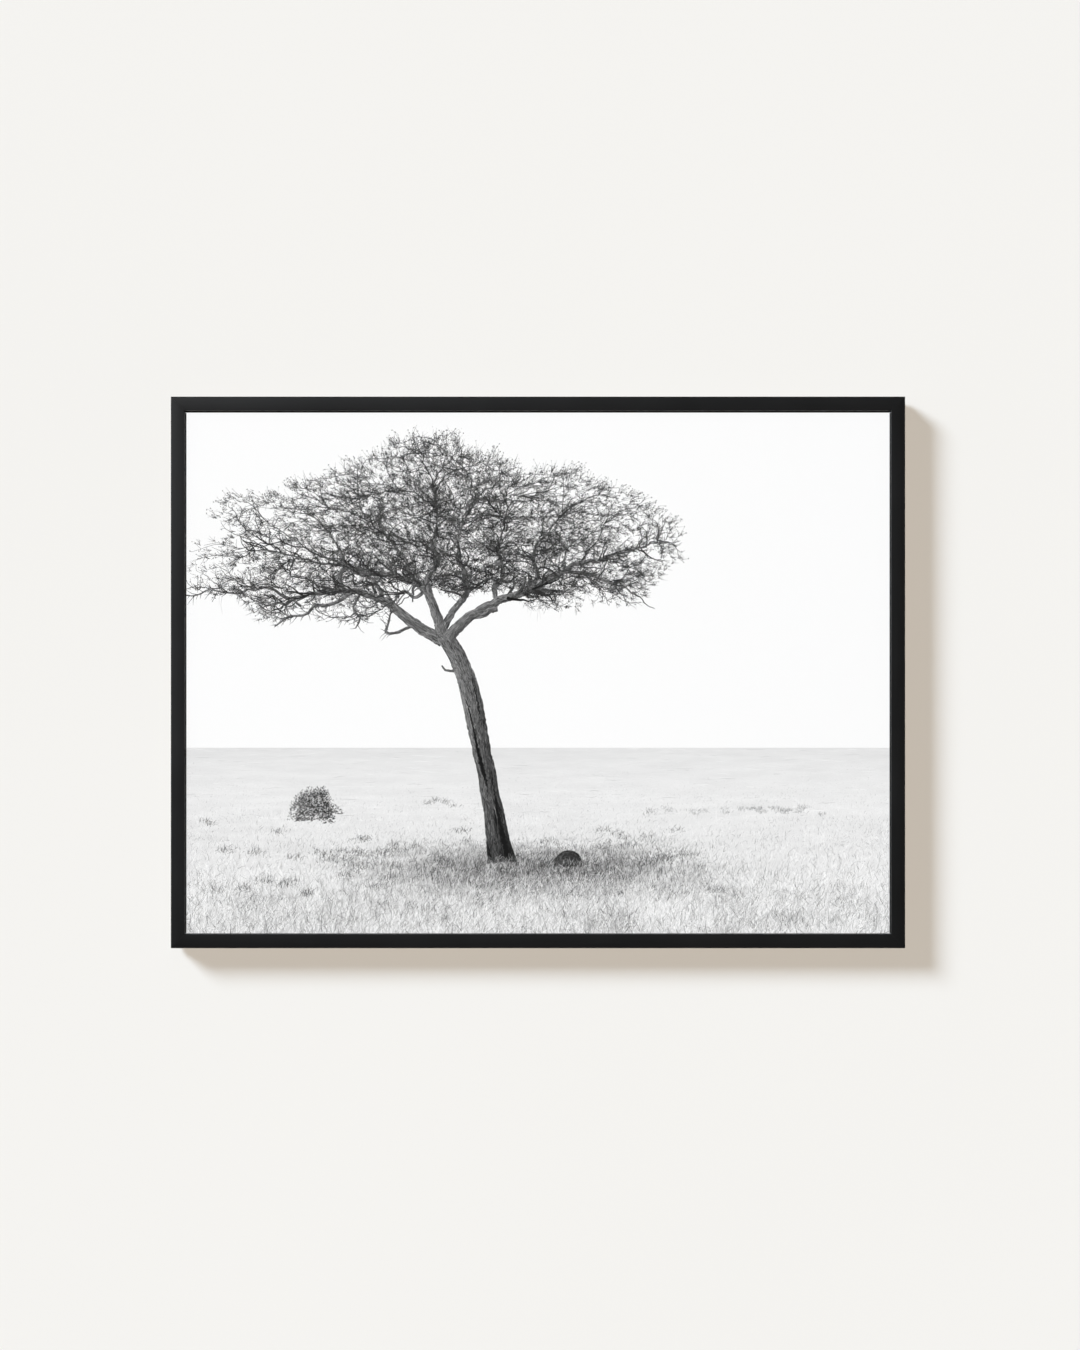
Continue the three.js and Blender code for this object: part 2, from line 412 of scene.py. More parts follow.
def maths(tree, operation, a, b=None):
    """A Math node whose inputs are numbers or the outputs of other nodes."""
    node = add_node(tree, "Math", operation=operation)
    for socket, value in zip(node.inputs, (a, b)):
        if isinstance(value, (int, float)):
            socket.default_value = value
        elif value is not None:
            tree.links.new(value, socket)
    return node.outputs[0]


def show_mixed(tree, share, first, second):
    """Ends the material in a mix of two shaders, where the second one has that share."""
    mixed = add_node(tree, "MixShader")
    tree.links.new(share, mixed.inputs["Fac"])
    tree.links.new(first.outputs["BSDF"], mixed.inputs[1])
    tree.links.new(second.outputs["BSDF"], mixed.inputs[2])
    tree.links.new(mixed.outputs["Shader"], tree.nodes["Material Output"].inputs["Surface"])


def picture_glass():
    material = bpy.data.materials.new("picture_glass")
    material.use_nodes = True
    tree = material.node_tree
    tree.nodes.remove(tree.nodes["Principled BSDF"])
    clear = add_node(tree, "BsdfTransparent", Color=(0.995, 0.998, 0.996, 1))
    gloss = add_node(tree, "BsdfGlossy")
    haze = noise(tree, object_place(tree), 40, 3, 0.5)
    tree.links.new(spread_out(tree, haze, 0.06, 0.11), gloss.inputs["Roughness"])
    facing = add_node(tree, "Fresnel", IOR=1.12)
    side = add_node(tree, "NewGeometry")
    outside = maths(tree, "SUBTRACT", 1, side.outputs["Backfacing"])
    show_mixed(tree, maths(tree, "MULTIPLY", facing.outputs["Fac"], outside), clear, gloss)
    return material


def flecked(name, pattern, *stops, gloss=None, relief=None, **shader_values):
    """A finish from one noise pattern, which sets the colour, and the gloss and relief if asked."""
    material, tree, shader = new_material(name, **shader_values)
    fleck = noise(tree, object_place(tree), *pattern)
    tree.links.new(ramp(tree, fleck, *stops), shader.inputs["Base Color"])
    if gloss:
        tree.links.new(spread_out(tree, fleck, *gloss), shader.inputs["Roughness"])
    if relief:
        bump(tree, shader, fleck, *relief)
    return material


def refinish(node_name, material):
    """Puts a finish on a CAD node that stays as it is."""
    mesh = nodes[node_name].data
    mesh.materials.clear()
    mesh.materials.append(material)


refinish("glazing", picture_glass())
# dark spacer plastic, whose edge past the wood also serves as painted shade along the frame's inner edge and
# under the top rail
spacer_and_shade_line_finish = flecked("spacer_plastic", (1500, 2, 0.5), (0.3, 0.006), (0.7, 0.011), gloss=(0.5, 0.7),
                        relief=(0.2, 0.0001), IOR=1.46)
for side in ("top", "bottom", "left", "right"):
    refinish(f"spacer_{side}", spacer_and_shade_line_finish)

# %% [markdown]
# ## Backing card and hardboard
#
# Behind the print lie a sheet of grey card and a sheet of hardboard. Hardboard is pressed from wood
# fibres, so its brown is made of fine flecks over larger, slow changes of tone. Its back was pressed
# against a wire screen, and keeps the screen's weave as a relief of tiny dimples. Two sets of waves,
# one along X and one along Z, multiply into that weave.

# %% Backing card and hardboard
WEAVE_PITCH = 2.6 * MM


def split(tree, place):
    """The X, Y and Z of a place, each on its own."""
    node = add_node(tree, "SeparateXYZ")
    tree.links.new(place, node.inputs["Vector"])
    return node.outputs


def screen_weave(tree, pitch):
    """Dimples of a woven screen, as two crossed waves of that pitch in metres."""
    place = split(tree, object_place(tree))
    turns = [maths(tree, "MULTIPLY", place[axis], 2 * math.pi / pitch) for axis in ("X", "Z")]
    return maths(tree, "MULTIPLY", *[maths(tree, "SINE", turn) for turn in turns])


def hardboard():
    material, tree, shader = new_material("hardboard", IOR=1.4)
    fleck = noise(tree, object_place(tree), 900, 6, 0.75)
    fibre = noise(tree, object_place(tree, (0.35, 1, 1), (0, 0.5, 0)), 520, 4, 0.65)
    cloud = noise(tree, object_place(tree), 16, 6, 0.6)
    tint = ramp(tree, cloud, (0.3, (0.205, 0.117, 0.058)), (0.7, (0.24, 0.14, 0.072)))
    flecks = ramp(tree, fleck, (0.3, 0.5), (0.47, 0.95), (0.72, 1.15))
    fibres = ramp(tree, fibre, (0.3, 0.74), (0.55, 1.0))
    colour = times(tree, times(tree, tint, flecks), fibres)
    coat(tree, shader, colour, spread_out(tree, fleck, 0.62, 0.85))
    relief = blend_colours(tree, 0.3, screen_weave(tree, WEAVE_PITCH), fleck)
    bump(tree, shader, relief, 0.35, 0.0004)
    return material


grey_card = flecked("grey_card", (1400, 3, 0.7), (0.35, (0.27, 0.255, 0.225)), (0.7, (0.36, 0.345, 0.31)),
                    gloss=(0.85, 1.0), relief=(0.3, 0.0001))
refinish("backing_card", grey_card)
refinish("backing_board", hardboard())

# %% [markdown]
# ## Steel tabs
#
# Fourteen thin steel points are shot into the rabbet's wall and pressed flat on the hardboard. To
# change the print they are bent up and back again, so they are soft, and a little scratched. One is
# modelled and copied: a short disc whose upper half is pulled out into a straight shank, which then
# runs 3 mm into the wood.

# %% Zinc-plated steel


def plated_steel():
    material, tree, shader = new_material("plated_steel", Metallic=1.0)
    cloud = noise(tree, object_place(tree), 260, 4, 0.6)
    scratch = noise(tree, object_place(tree, (0.06, 1, 1), (0, 0.7, 0)), 3800, 3, 0.7)
    tint = ramp(tree, cloud, (0.3, (0.42, 0.425, 0.43)), (0.7, (0.6, 0.6, 0.585)))
    lines = ramp(tree, scratch, (0.35, 0.78), (0.55, 1.0))
    colour = times(tree, tint, lines)
    coat(tree, shader, colour, spread_out(tree, cloud, 0.24, 0.42))
    bump(tree, shader, scratch, 0.12, 0.00005)
    return material


steel = plated_steel()

# %% Tabs
tab_low, tab_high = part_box("tab_top_1")
TAB_W = tab_high.x - tab_low.x
TAB_T = tab_high.y - tab_low.y
TAB_ROOT = 3.0 * MM  # hidden in the wood


def disc(radius, length, middle, sides):
    """A cylinder along Y around its middle, from the cylinder primitive."""
    bpy.ops.object.select_all(action="DESELECT")
    bpy.ops.mesh.primitive_cylinder_add(vertices=sides, radius=radius, depth=length, location=middle,
                                        rotation=(math.pi / 2, 0, 0))
    return settle(bpy.context.object)


def ease(obj, width, degrees):
    """Takes the sharpness off every edge that turns by more than those degrees."""
    apply_modifier(obj, "BEVEL", width=width, segments=2, limit_method="ANGLE",
                   angle_limit=math.radians(degrees))


def make_tab():
    """A tab that points down from a root at z = 0, with its middle plane at y = 0."""
    middle = TAB_W / 2 - (tab_high.z - tab_low.z)
    tab = disc(TAB_W / 2, TAB_T, (0, 0, middle), 32)
    pick(tab, "VERT", lambda co: co.z > middle + TINY)
    bpy.ops.transform.resize(value=(1, 1, 0), center_override=(0, 0, middle))
    bpy.ops.transform.translate(value=(0, 0, TAB_ROOT - middle))
    done()
    ease(tab, 0.12 * MM, 40)
    return tab


first_tab = make_tab()
first_tab.name = "tab_pattern"
tab_names = sorted(n for n in nodes if n.startswith("tab_"))
TURNS = {"top": 0, "right": 1, "bottom": 2, "left": 3}
for name in tab_names:
    low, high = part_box(name)
    side = name.split("_")[1]
    turn = Matrix.Rotation(TURNS[side] * math.pi / 2, 4, "Y")
    root = turn @ Vector((0, 0, (tab_high.z - tab_low.z) / 2))
    place = Matrix.Translation((low + high) / 2 + root) @ turn
    finish_piece(copy_of(first_tab, name.replace("tab", "steel_tab"), place), steel, "steel", name)
bpy.data.objects.remove(first_tab)
print("tabs:", len(tab_names))

# %% [markdown]
# ## Sawtooth hangers
#
# Two stamped strips are riveted to the hardboard. The middle of each stands off it, so that the head
# of a nail slips behind, and its lower edge is cut into teeth that grip the nail wherever the picture
# hangs level. A strip starts as one flat plane. Slices mark the bends and the teeth, the middle is
# lifted, every second point of the lower edge is pushed up, and Solidify gives the sheet its
# thickness.

# %% Hangers
strip_low, strip_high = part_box("hanger_left")
STRIP_W = strip_high.x - strip_low.x
STRIP_H = strip_high.z - strip_low.z
STRIP_T = 0.8 * MM
STRIP_RISE = strip_high.y - strip_low.y - STRIP_T
PAD = 9 * MM
RAMP = 3 * MM
TEETH = 9
TOOTH_DEPTH = 1.6 * MM
STRIP_CORNER = 2.2 * MM


def plane(size, middle, upright=True):
    """A square plane that faces the camera, or the sky."""
    bpy.ops.object.select_all(action="DESELECT")
    bpy.ops.mesh.primitive_plane_add(size=size, location=middle, rotation=(math.pi / 2 * upright, 0, 0))
    return settle(bpy.context.object)


def push(obj, kind, test, move):
    """Moves the points, edges or faces that pass the test."""
    pick(obj, kind, test)
    bpy.ops.transform.translate(value=move)
    done()


def make_hanger():
    """A hanger centred on x = 0 and z = 0, with its pads' rear faces on y = 0."""
    strip = plane(1, (0, 0, 0))
    strip.scale = (STRIP_W, 1, STRIP_H)
    settle(strip)
    foot = STRIP_W / 2 - PAD
    bridge = foot - RAMP
    pitch = 2 * bridge / TEETH
    marks = [-foot, foot] + [-bridge + i * pitch / 2 for i in range(2 * TEETH + 1)]
    for x in marks:
        cut(strip, (x, 0, 0), (1, 0, 0), fill=False, clear_outer=False)
    cut(strip, (0, 0, -STRIP_H / 4), (0, 0, 1), fill=False, clear_outer=False)
    tips = [-bridge + (i + 0.5) * pitch for i in range(TEETH)]
    push(strip, "VERT", lambda co: co.z < -0.49 * STRIP_H and min(abs(co.x - tip) for tip in tips) < TINY,
         (0, 0, TOOTH_DEPTH))
    push(strip, "VERT", lambda co: abs(co.x) < bridge + TINY, (0, STRIP_RISE, 0))
    pick(strip, "VERT", lambda co: abs(co.x) > 0.49 * STRIP_W and abs(co.z) > 0.49 * STRIP_H)
    bpy.ops.mesh.bevel(offset=STRIP_CORNER, segments=5, affect="VERTICES")
    bpy.ops.mesh.select_all(action="SELECT")
    bpy.ops.mesh.normals_make_consistent(inside=False)
    done()
    if strip.data.polygons[0].normal.y < 0:
        strip.data.flip_normals()
    apply_modifier(strip, "SOLIDIFY", thickness=STRIP_T, offset=1.0)
    ease(strip, 0.1 * MM, 50)
    smooth(strip)
    return strip


first_hanger = make_hanger()
print("hanger strip in mm:", round(1000 * STRIP_W, 1), "x", round(1000 * STRIP_H, 1))

# %% [markdown]
# A rivet's head is a short cylinder with a well rounded front edge. Two insets step inwards on its
# front face, and the small face that is left goes back in, as the dimple that the punch leaves.

# %% Rivets


def press_dish(obj, test, insets, depth):
    """Steps inwards on the faces that pass the test, and pushes what is left in along Y."""
    pick(obj, "FACE", test)
    for inset in insets:
        bpy.ops.mesh.inset(thickness=inset)
    bpy.ops.transform.translate(value=(0, -depth, 0))
    done()


def onto(node_name):
    """The move from the origin to the middle of a CAD node's front side."""
    low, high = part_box(node_name)
    return Matrix.Translation(((low.x + high.x) / 2, low.y, (low.z + high.z) / 2))


def make_rivet():
    """A domed rivet head standing on y = 0, with the dimple that the punch leaves."""
    low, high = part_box("rivet_left_a")
    radius, height = (high.x - low.x) / 2, high.y - low.y
    rivet = disc(radius, height, (0, height / 2, 0), 40)
    round_edges(rivet, lambda a, b: min(a.y, b.y) > 0.99 * height, 0.7 * height, 6)
    press_dish(rivet, lambda centre, normal: normal.y > 0.99 and centre.length < height + 0.2 * radius,
               (0.45 * radius, 0.12 * radius), 0.3 * MM)
    smooth(rivet, 40)
    return rivet


first_rivet = make_rivet()
print("faces of a rivet:", len(first_rivet.data.polygons))

# %% Placing hangers and rivets
for side in ("left", "right"):
    name = f"hanger_{side}"
    finish_piece(copy_of(first_hanger, "sawtooth_" + name, onto(name)), steel, "steel", name)
    for end in ("a", "b"):
        name = f"rivet_{side}_{end}"
        finish_piece(copy_of(first_rivet, "hanger_" + name, onto(name)), steel, "steel", name)
bpy.data.objects.remove(first_hanger)
bpy.data.objects.remove(first_rivet)

# %% [markdown]
# ## Rubber bumpers
#
# A soft bumper at each corner keeps the wood off the wall, and sets how far the shadow falls. It is a
# plain cylinder until the bevel rounds its rim. An inset and a small push make the shallow dish that a
# moulded bumper has.

# %% Bumpers


def make_bumper():
    """A bumper standing on y = 0, with a rounded rim and a shallow dish."""
    low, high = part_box("bumper_top_left")
    radius, height = (high.x - low.x) / 2, high.y - low.y
    bumper = disc(radius, height, (0, height / 2, 0), 56)
    round_edges(bumper, lambda a, b: min(a.y, b.y) > 0.99 * height, 1.2 * MM, 6)
    press_dish(bumper, lambda centre, normal: normal.y > 0.99, (0.7 * MM, 0.5 * MM), 0.35 * MM)
    smooth(bumper, 40)
    return bumper


rubber = flecked("soft_rubber", (1200, 5, 0.7), (0.45, 0.011), (0.8, (0.035, 0.034, 0.032)),
                 gloss=(0.6, 0.85), relief=(0.15, 0.0001), IOR=1.5)
first_bumper = make_bumper()
for name in sorted(n for n in nodes if n.startswith("bumper_")):
    finish_piece(copy_of(first_bumper, "soft_" + name, onto(name)), rubber, "black_rubber", name)
bpy.data.objects.remove(first_bumper)

# %% [markdown]
# ## The print
#
# The print shows an old, flat-topped tree on a grass plain, in black and white. It is a drawing made
# of strokes, and this notebook draws all of them: it holds no picture file. A stroke is a flat ribbon
# that follows a line of points and has its own width at each. Strokes lie between 0.02 and 0.3 mm in
# front of the paper, and the ones nearer to the glass cover the others.
#
# Positions on the print are in millimetres from the lower left corner of the inked area, x to the
# right and z up. All strokes of one grey are joined into one flat mesh, with one ink.

# %% The inked area and the greys
PICTURE_W = 594.6
PICTURE_H = 439.3
BLEED = 2.6  # the ink runs on past the edges by this, under the spacer strips
HORIZON = 155.6
PAPER_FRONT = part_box("print_sheet")[0].y
PLY = 0.004  # the strokes of one layer differ in depth by up to this, so that no two share a plane
GREYS = {"soot": 28, "coal": 48, "iron": 68, "slate": 88, "lead": 108, "smoke": 130, "ash": 154,
         "dove": 180, "mist": 204, "pearl": 226, "chalk": 246}
strokes = {name: [] for name in GREYS}


def unit(vectors):
    return vectors / np.maximum(np.linalg.norm(vectors, axis=-1, keepdims=True), TINY)


def lay(paths, widths, tones, depths):
    """Adds n strokes of k points: paths (n, k, 2), widths (n, k), grey 0 to 255 and depth in mm (n)."""
    step = unit(np.gradient(paths, axis=1))
    edge = np.stack([-step[..., 1], step[..., 0]], 2) * widths[..., None] / 2
    sides = np.stack([paths - edge, paths + edge], 2)
    middle = sides.mean((1, 2)) - [PICTURE_W / 2, PICTURE_H / 2]
    inside = (np.abs(middle) < [PICTURE_W / 2 + 1, PICTURE_H / 2 + 1]).all(1)
    levels = np.array(list(GREYS.values()))
    nearest = np.abs(np.asarray(tones)[:, None] - levels).argmin(1)
    for i, name in enumerate(GREYS):
        chosen = inside & (nearest == i)
        if chosen.any():
            strokes[name].append((sides[chosen], np.asarray(depths)[chosen]))

# %% [markdown]
# ## Trunk and boughs
#
# The trunk leans to the left as it rises, and parts into three main boughs that bend level under the
# flat crown. Those lines give the tree its character, so they are given one by one: each mark is a
# position and the bough's thickness there.
#
# Every bough gets one ribbon of a middle grey. Hatching over it makes the bark, furrows and cracks
# age the trunk, and short crooked limbs fill the space between the boughs.

# %% Boughs
BOUGHS = {
    "trunk": [(267, 58, 24.5), (264, 72, 20.5), (261, 93, 17.6), (257, 115, 15.6), (253, 137, 15.2),
              (249, 155, 15.2), (245, 175, 16.4), (242, 192, 16.6), (237, 212, 15.8), (230, 230, 14.6),
              (218, 251, 14)],
    "left": [(217, 246, 11), (203, 254, 9.5), (189, 263, 8.5), (177, 274, 7.4), (163, 282, 6.2),
             (147, 287, 5), (128, 289, 4), (108, 287, 3.2), (88, 281, 2.4), (70, 277, 1.6)],
    "middle": [(216, 250, 10), (213, 263, 8.6), (209, 277, 7.4), (202, 290, 6.6), (190, 298, 5.4),
               (174, 302, 4.4), (154, 305, 3.6), (136, 311, 2.4), (112, 319, 1.4)],
    "inner": [(217, 256, 7), (222, 270, 5.6), (231, 279, 5), (237, 290, 4.8), (235, 305, 4.2),
              (230, 320, 3.2), (231, 338, 1.8), (236, 352, 1.0)],
    "right": [(220, 248, 10), (231, 260, 9), (245, 270, 8), (263, 280, 7), (283, 287, 6.2),
              (301, 294, 5.2), (318, 305, 4.2), (334, 313, 3.3), (353, 316, 2.5), (373, 322, 1.8),
              (392, 329, 1.2)],
    "left_riser": [(131, 288, 4), (130, 301, 3.8), (133, 315, 3.2), (127, 327, 2), (119, 338, 1.1)],
    "left_high": [(166, 281, 3.6), (160, 295, 3.4), (147, 303, 3), (128, 310, 2.2), (103, 314, 1.6),
                  (78, 321, 1.2), (52, 323, 0.9)],
    "left_low": [(140, 288, 3), (124, 279, 2.8), (109, 276, 2.4), (97, 268, 2), (84, 266, 1.6), (74, 258, 1)],
    "left_arc": [(96, 276, 2), (84, 283, 2.2), (70, 290, 2), (54, 291, 1.7), (38, 287, 1.4), (22, 290, 1.2),
                 (8, 287, 1.1), (-6, 285, 1)],
    "left_hook": [(146, 286, 2), (141, 275, 1.9), (147, 266, 1.6), (143, 257, 1)],
    "mid_high": [(191, 299, 3.8), (185, 312, 3.2), (176, 326, 2), (165, 339, 1.2), (150, 350, 0.8)],
    "mid_low": [(202, 290, 3.2), (193, 284, 2.6), (184, 287, 2.2), (176, 281, 1.6)],
    "centre_high": [(206, 284, 4.6), (204, 298, 4.6), (211, 313, 3.8), (207, 329, 2.4), (212, 346, 1.5),
                    (209, 364, 1)],
    "right_rise": [(262, 280, 4.4), (262, 294, 4), (268, 308, 2.8), (263, 324, 1.8), (268, 340, 1)],
    "right_lobe": [(290, 290, 3.8), (297, 304, 3.4), (293, 319, 2.4), (302, 336, 1.6), (314, 350, 1)],
    "right_low": [(318, 305, 3), (334, 304, 2.6), (350, 299, 2), (366, 294, 1.6), (381, 286, 1.1)],
    "trunk_stub": [(232, 221, 3), (224, 220, 2.2), (219, 222, 1.7), (216, 226, 1.1)],
    "right_stub": [(243, 267, 4.6), (253, 269, 4.6), (263, 273, 4.4)],
    "left_twig": [(191, 259, 2.6), (179, 254, 2.4), (168, 254, 2.2), (170, 262, 1.7), (173, 270, 1.3)],
}
TWIGLESS = ("trunk", "trunk_stub", "right_stub")
print("boughs:", len(BOUGHS), "marks:", sum(map(len, BOUGHS.values())))

# %% [markdown]
# A curve through the marks gives a bough its line. Old wood never runs in one clean curve, so the line
# is pushed to one side or the other every few millimetres. The ribbon along it is the bough's base.

# %% Ribbons
BOUGH_DEPTH = 0.12  # in front of the paper, as all depths
BOUGH_GREY = 76
KNEE = 7.0  # millimetres from one bend of a bough to the next


def smooth_path(marks, per_span):
    """A Catmull-Rom curve through hand-placed marks, with any number of columns."""
    m = np.array(marks, float)
    m = np.vstack([2 * m[0] - m[1], m, 2 * m[-1] - m[-2]])
    out = []
    for a, b, c, d in zip(m, m[1:], m[2:], m[3:]):
        for t in np.arange(per_span) / per_span:
            out.append(0.5 * (2 * b + (c - a) * t + (2 * a - 5 * b + 4 * c - d) * t**2
                              + (3 * b - a - 3 * c + d) * t**3))
    out.append(m[-2])
    return np.array(out)


def run_along(path):
    """How far along the path each of its points lies."""
    gap = np.linalg.norm(np.diff(path[:, :2], axis=0), axis=1)
    return np.concatenate([[0], np.cumsum(gap)])


def across(way):
    """The vectors turned left by a right angle; a third column stays."""
    return np.concatenate([-way[:, 1:2], way[:, :1], way[:, 2:]], 1)


def kinked(path, rng):
    """Pushes a bough's line to one side or the other at every knee, thin boughs the most."""
    along = run_along(path)
    bends = np.arange(0, along[-1] + KNEE, KNEE)
    shift = np.interp(along, bends, rng.normal(0, 1, len(bends))) * np.clip(1.3 - 0.09 * path[:, 2], 0.25, 1)
    shift = shift * np.clip(along / 12, 0, 1)
    path = path.copy()
    path[:, :2] += across(unit(np.gradient(path[:, :2], axis=0))) * shift[:, None]
    return path


def bough_ribbon(marks, rng):
    """Lays the plain ribbon under the bark, with slightly uneven edges."""
    path = kinked(smooth_path(marks, 10), rng)
    path[:, :2] += rng.normal(0, 1, (len(path), 2)) * np.minimum(0.03 * path[:, 2:], 0.15)
    width = path[:, 2] + rng.normal(0, 1, len(path)) * np.minimum(0.09 * path[:, 2], 0.34)
    lay(path[None, :, :2], width[None], [BOUGH_GREY], [BOUGH_DEPTH])
    return path

# %% [markdown]
# Bark is hatching: hundreds of short strokes that follow the bough, darker towards the side away from
# the light. The lower trunk also has furrows, which are longer, wider and nearly black.

# %% Bark and furrows
BARK_DENSITY = 1.0  # strokes on each square millimetre of bough


def taper(thick, *shares):
    """Stroke widths at each point, as shares of each stroke's thickness."""
    return thick[:, None] * np.array(shares)


def sample(spot, along, table):
    """Every column of the table at those spots along it."""
    return [np.interp(spot, along, column) for column in table.T]


def bark(path, rng):
    """Lays short strokes along a bough: light on its upper left, dark on its lower right."""
    heading = unit(np.gradient(path[:, :2], axis=0))
    along = run_along(path)
    count = int(BARK_DENSITY * along[-1] * path[:, 2].mean())
    weight = path[:, 2] / path[:, 2].sum()
    start = along[rng.choice(len(path), count, p=weight)] + rng.uniform(-3, 3, count)
    wide = np.interp(start, along, path[:, 2])
    length = rng.uniform(1.5, 4, count) + 0.35 * wide * rng.uniform(0, 1, count)
    spot = np.clip(start[:, None] + length[:, None] * np.linspace(0, 1, 4), 0, along[-1])
    x, z, w = sample(spot, along, path)
    hx, hz = sample(spot, along, heading)
    u = rng.uniform(-1, 1, count)
    drift = np.clip(u[:, None] + rng.normal(0, 0.05, (count, 4)).cumsum(1), -1.02, 1.02)
    paths = np.stack([x + hz * w / 2 * drift, z - hx * w / 2 * drift], 2)
    # the side away from a light on the upper left
    turned = u * (0.8 * hz.mean(1) - 0.6 * np.abs(hx.mean(1)) * np.sign(-hx.mean(1)))
    tone = 90 - 36 * np.clip(turned + 0.25, 0, 1) + 20 * np.clip(-turned, 0, 1)
    tone = tone + rng.normal(0, 24, count) - 30 * np.clip(1 - (z[:, 0] - 60) / 50, 0, 1)
    tone = tone + 32 * np.clip((z[:, 0] - 130) / 70, 0, 1)
    widths = taper(rng.uniform(0.25, 0.6, count), 0.4, 1, 1, 0.3)
    lay(paths, widths, np.clip(tone, 26, 150), BOUGH_DEPTH + rng.uniform(0.005, 0.04, count))


def furrows(path, rng, count):
    """Long dark cracks that run up the lower trunk."""
    start = rng.uniform(0, 0.45, count) * len(path)
    spot = start[:, None] + rng.uniform(4, 14, count)[:, None] * np.linspace(0, 1, 6)
    x, z, w = sample(np.clip(spot, 0, len(path) - 1), np.arange(len(path)), path)
    u = rng.normal(0.28, 0.3, count)[:, None] + rng.normal(0, 0.03, (count, 6)).cumsum(1)
    paths = np.stack([x + np.clip(u, -0.9, 0.9) * w / 2, z], 2)
    widths = taper(rng.uniform(0.5, 1.5, count), 0.1, 0.7, 1, 0.9, 0.6, 0.1)
    lay(paths, widths, rng.uniform(24, 50, count), BOUGH_DEPTH + rng.uniform(0.02, 0.04, count))

# %% [markdown]
# Crooked limbs leave the boughs and turn a little at every step. Four deep cracks are listed one by one,
# because they set the trunk's character as much as its outline does. Each has ragged edges.

# %% Crooked limbs and cracks
CRACK_GREY = 28
SIDE_CRACKS = 46


def rays(turn):
    """Unit vectors at those angles."""
    return np.stack([np.cos(turn), np.sin(turn)], 1)


def crooked_limbs(path, rng, count):
    """Short dark limbs that leave a bough, mostly upwards, and turn a little at every step."""
    at = rng.integers(len(path) // 3, len(path), count)
    way = unit(np.gradient(path[:, :2], axis=0))[at]
    turn = np.arctan2(way[:, 1], way[:, 0])
    turn = turn + rng.choice([-1, 1, 1], count) * np.sign(way[:, 0]) * rng.uniform(0.3, 1.1, count)
    spot = path[at, :2]
    points = [spot]
    for _ in range(8):
        turn = turn + rng.normal(0, 0.35, count)
        stride = rng.uniform(1.8, 4.6, count)
        spot = spot + rays(turn) * [1, 0.75] * stride[:, None]
        points.append(spot)
    first = np.clip(0.5 * path[at, 2], 1.2, 2.8)
    widths = first[:, None] * np.linspace(1, 0.38, 9) * rng.uniform(0.85, 1.15, (count, 9))
    depths = np.where(rng.uniform(0, 1, count) < 0.4, 0.11, 0.165) + rng.uniform(0, PLY, count)
    lay(np.stack(points, 1), widths, rng.uniform(34, 80, count), depths)


def bow(start, way, sag):
    """Strokes of three points that run along a way and sag in the middle."""
    return np.stack([start, start + 0.5 * way + sag, start + way], 1)


def crack(marks, rng):
    """One deep, ragged crack, with short side cracks that leave it at a slant."""
    path = smooth_path(marks, 12)
    count = len(path)
    wide = path[:, 2] * rng.uniform(0.65, 1.15, count)
    place = path[:, :2] + rng.normal(0, 0.22, (count, 2))
    lay(place[None], wide[None], [CRACK_GREY], [BOUGH_DEPTH + 0.045])
    at = rng.integers(0, count, SIDE_CRACKS)
    side = rng.choice([-1, 1], SIDE_CRACKS)
    start = place[at] + np.outer(side * wide[at] * 0.4, [1, 0])
    way = np.stack([side * rng.uniform(0.2, 1.3, SIDE_CRACKS), rng.uniform(-4.5, 4.5, SIDE_CRACKS)], 1)
    widths = taper(rng.uniform(0.3, 0.8, SIDE_CRACKS), 1, 0.7, 0.2)
    tones = rng.uniform(26, 56, SIDE_CRACKS)
    lay(bow(start, way, 0), widths, tones, np.full(SIDE_CRACKS, BOUGH_DEPTH + 0.046))


CRACKS = [
    [(236.5, 196, 0.5), (240, 182, 1.0), (243.3, 168, 1.5), (246.1, 154, 2.2), (249.6, 140, 3.4),
     (252, 131, 2.6), (254.4, 122, 0.8)],
    [(260.5, 119, 0.5), (262.6, 104, 2.2), (265, 92, 2.8), (267, 82, 3.8), (269.5, 72, 5), (272, 60, 6)],
    [(241, 214, 0.4), (245, 200, 0.9), (247, 188, 0.7), (249, 176, 0.3)],
    [(254, 74, 0.6), (256, 66, 1.6), (258, 58, 2.4)],
]

# %% [markdown]
# One generator with a fixed seed makes every draw, so the tree comes out the same each time. Bark goes
# on bough by bough, and the furrows, cracks and crooked limbs come last, as they lie on top.

# %% Drawing the trunk and boughs


def count_strokes(part):
    print(f"strokes up to the {part}:", sum(len(depths) for group in strokes.values() for _, depths in group))


bark_rng = np.random.default_rng(5)
wooden = {}
for name, marks in BOUGHS.items():
    wooden[name] = bough_ribbon(marks, bark_rng)
    bark(wooden[name], bark_rng)
furrows(wooden["trunk"], bark_rng, 16)
for marks in CRACKS:
    crack(marks, bark_rng)
for name, count in (("left", 20), ("middle", 20), ("right", 25), ("inner", 12), ("left_high", 10),
                    ("mid_high", 6), ("right_low", 5), ("centre_high", 10), ("right_rise", 9),
                    ("right_lobe", 6)):
    crooked_limbs(wooden[name], bark_rng, count)
count_strokes("boughs")

# %% [markdown]
# ## The crown
#
# Between the boughs and the rim the tree is a web of thousands of twigs, too many to place by hand
# and too orderly for chance. A rule grows them in three rounds. Each round scatters goals inside the
# crown's outline, and joins every goal to the nearest point of what has already grown, preferring
# points that head outwards. So limbs grow from boughs, branches from limbs and twigs from branches,
# and each round is thinner. Side shoots, small fans of twigs and specks of leaf finish it.
#
# The crown has a third dimension while it grows. What grows behind the boughs lies under them and is
# lighter, and what grows in front lies over them and is darker.

# %% The crown's outline
CROWN_X, CROWN_HALF, CROWN_DEPTH = 207.0, 217.0, 80.0
CROWN_FLOOR, CROWN_CEILING = 285.0, 388.0
LOBES = [(205, 30, 62), (325, 13, 20), (374, 10, 22), (36, 16, 20)]  # middle, height, half width


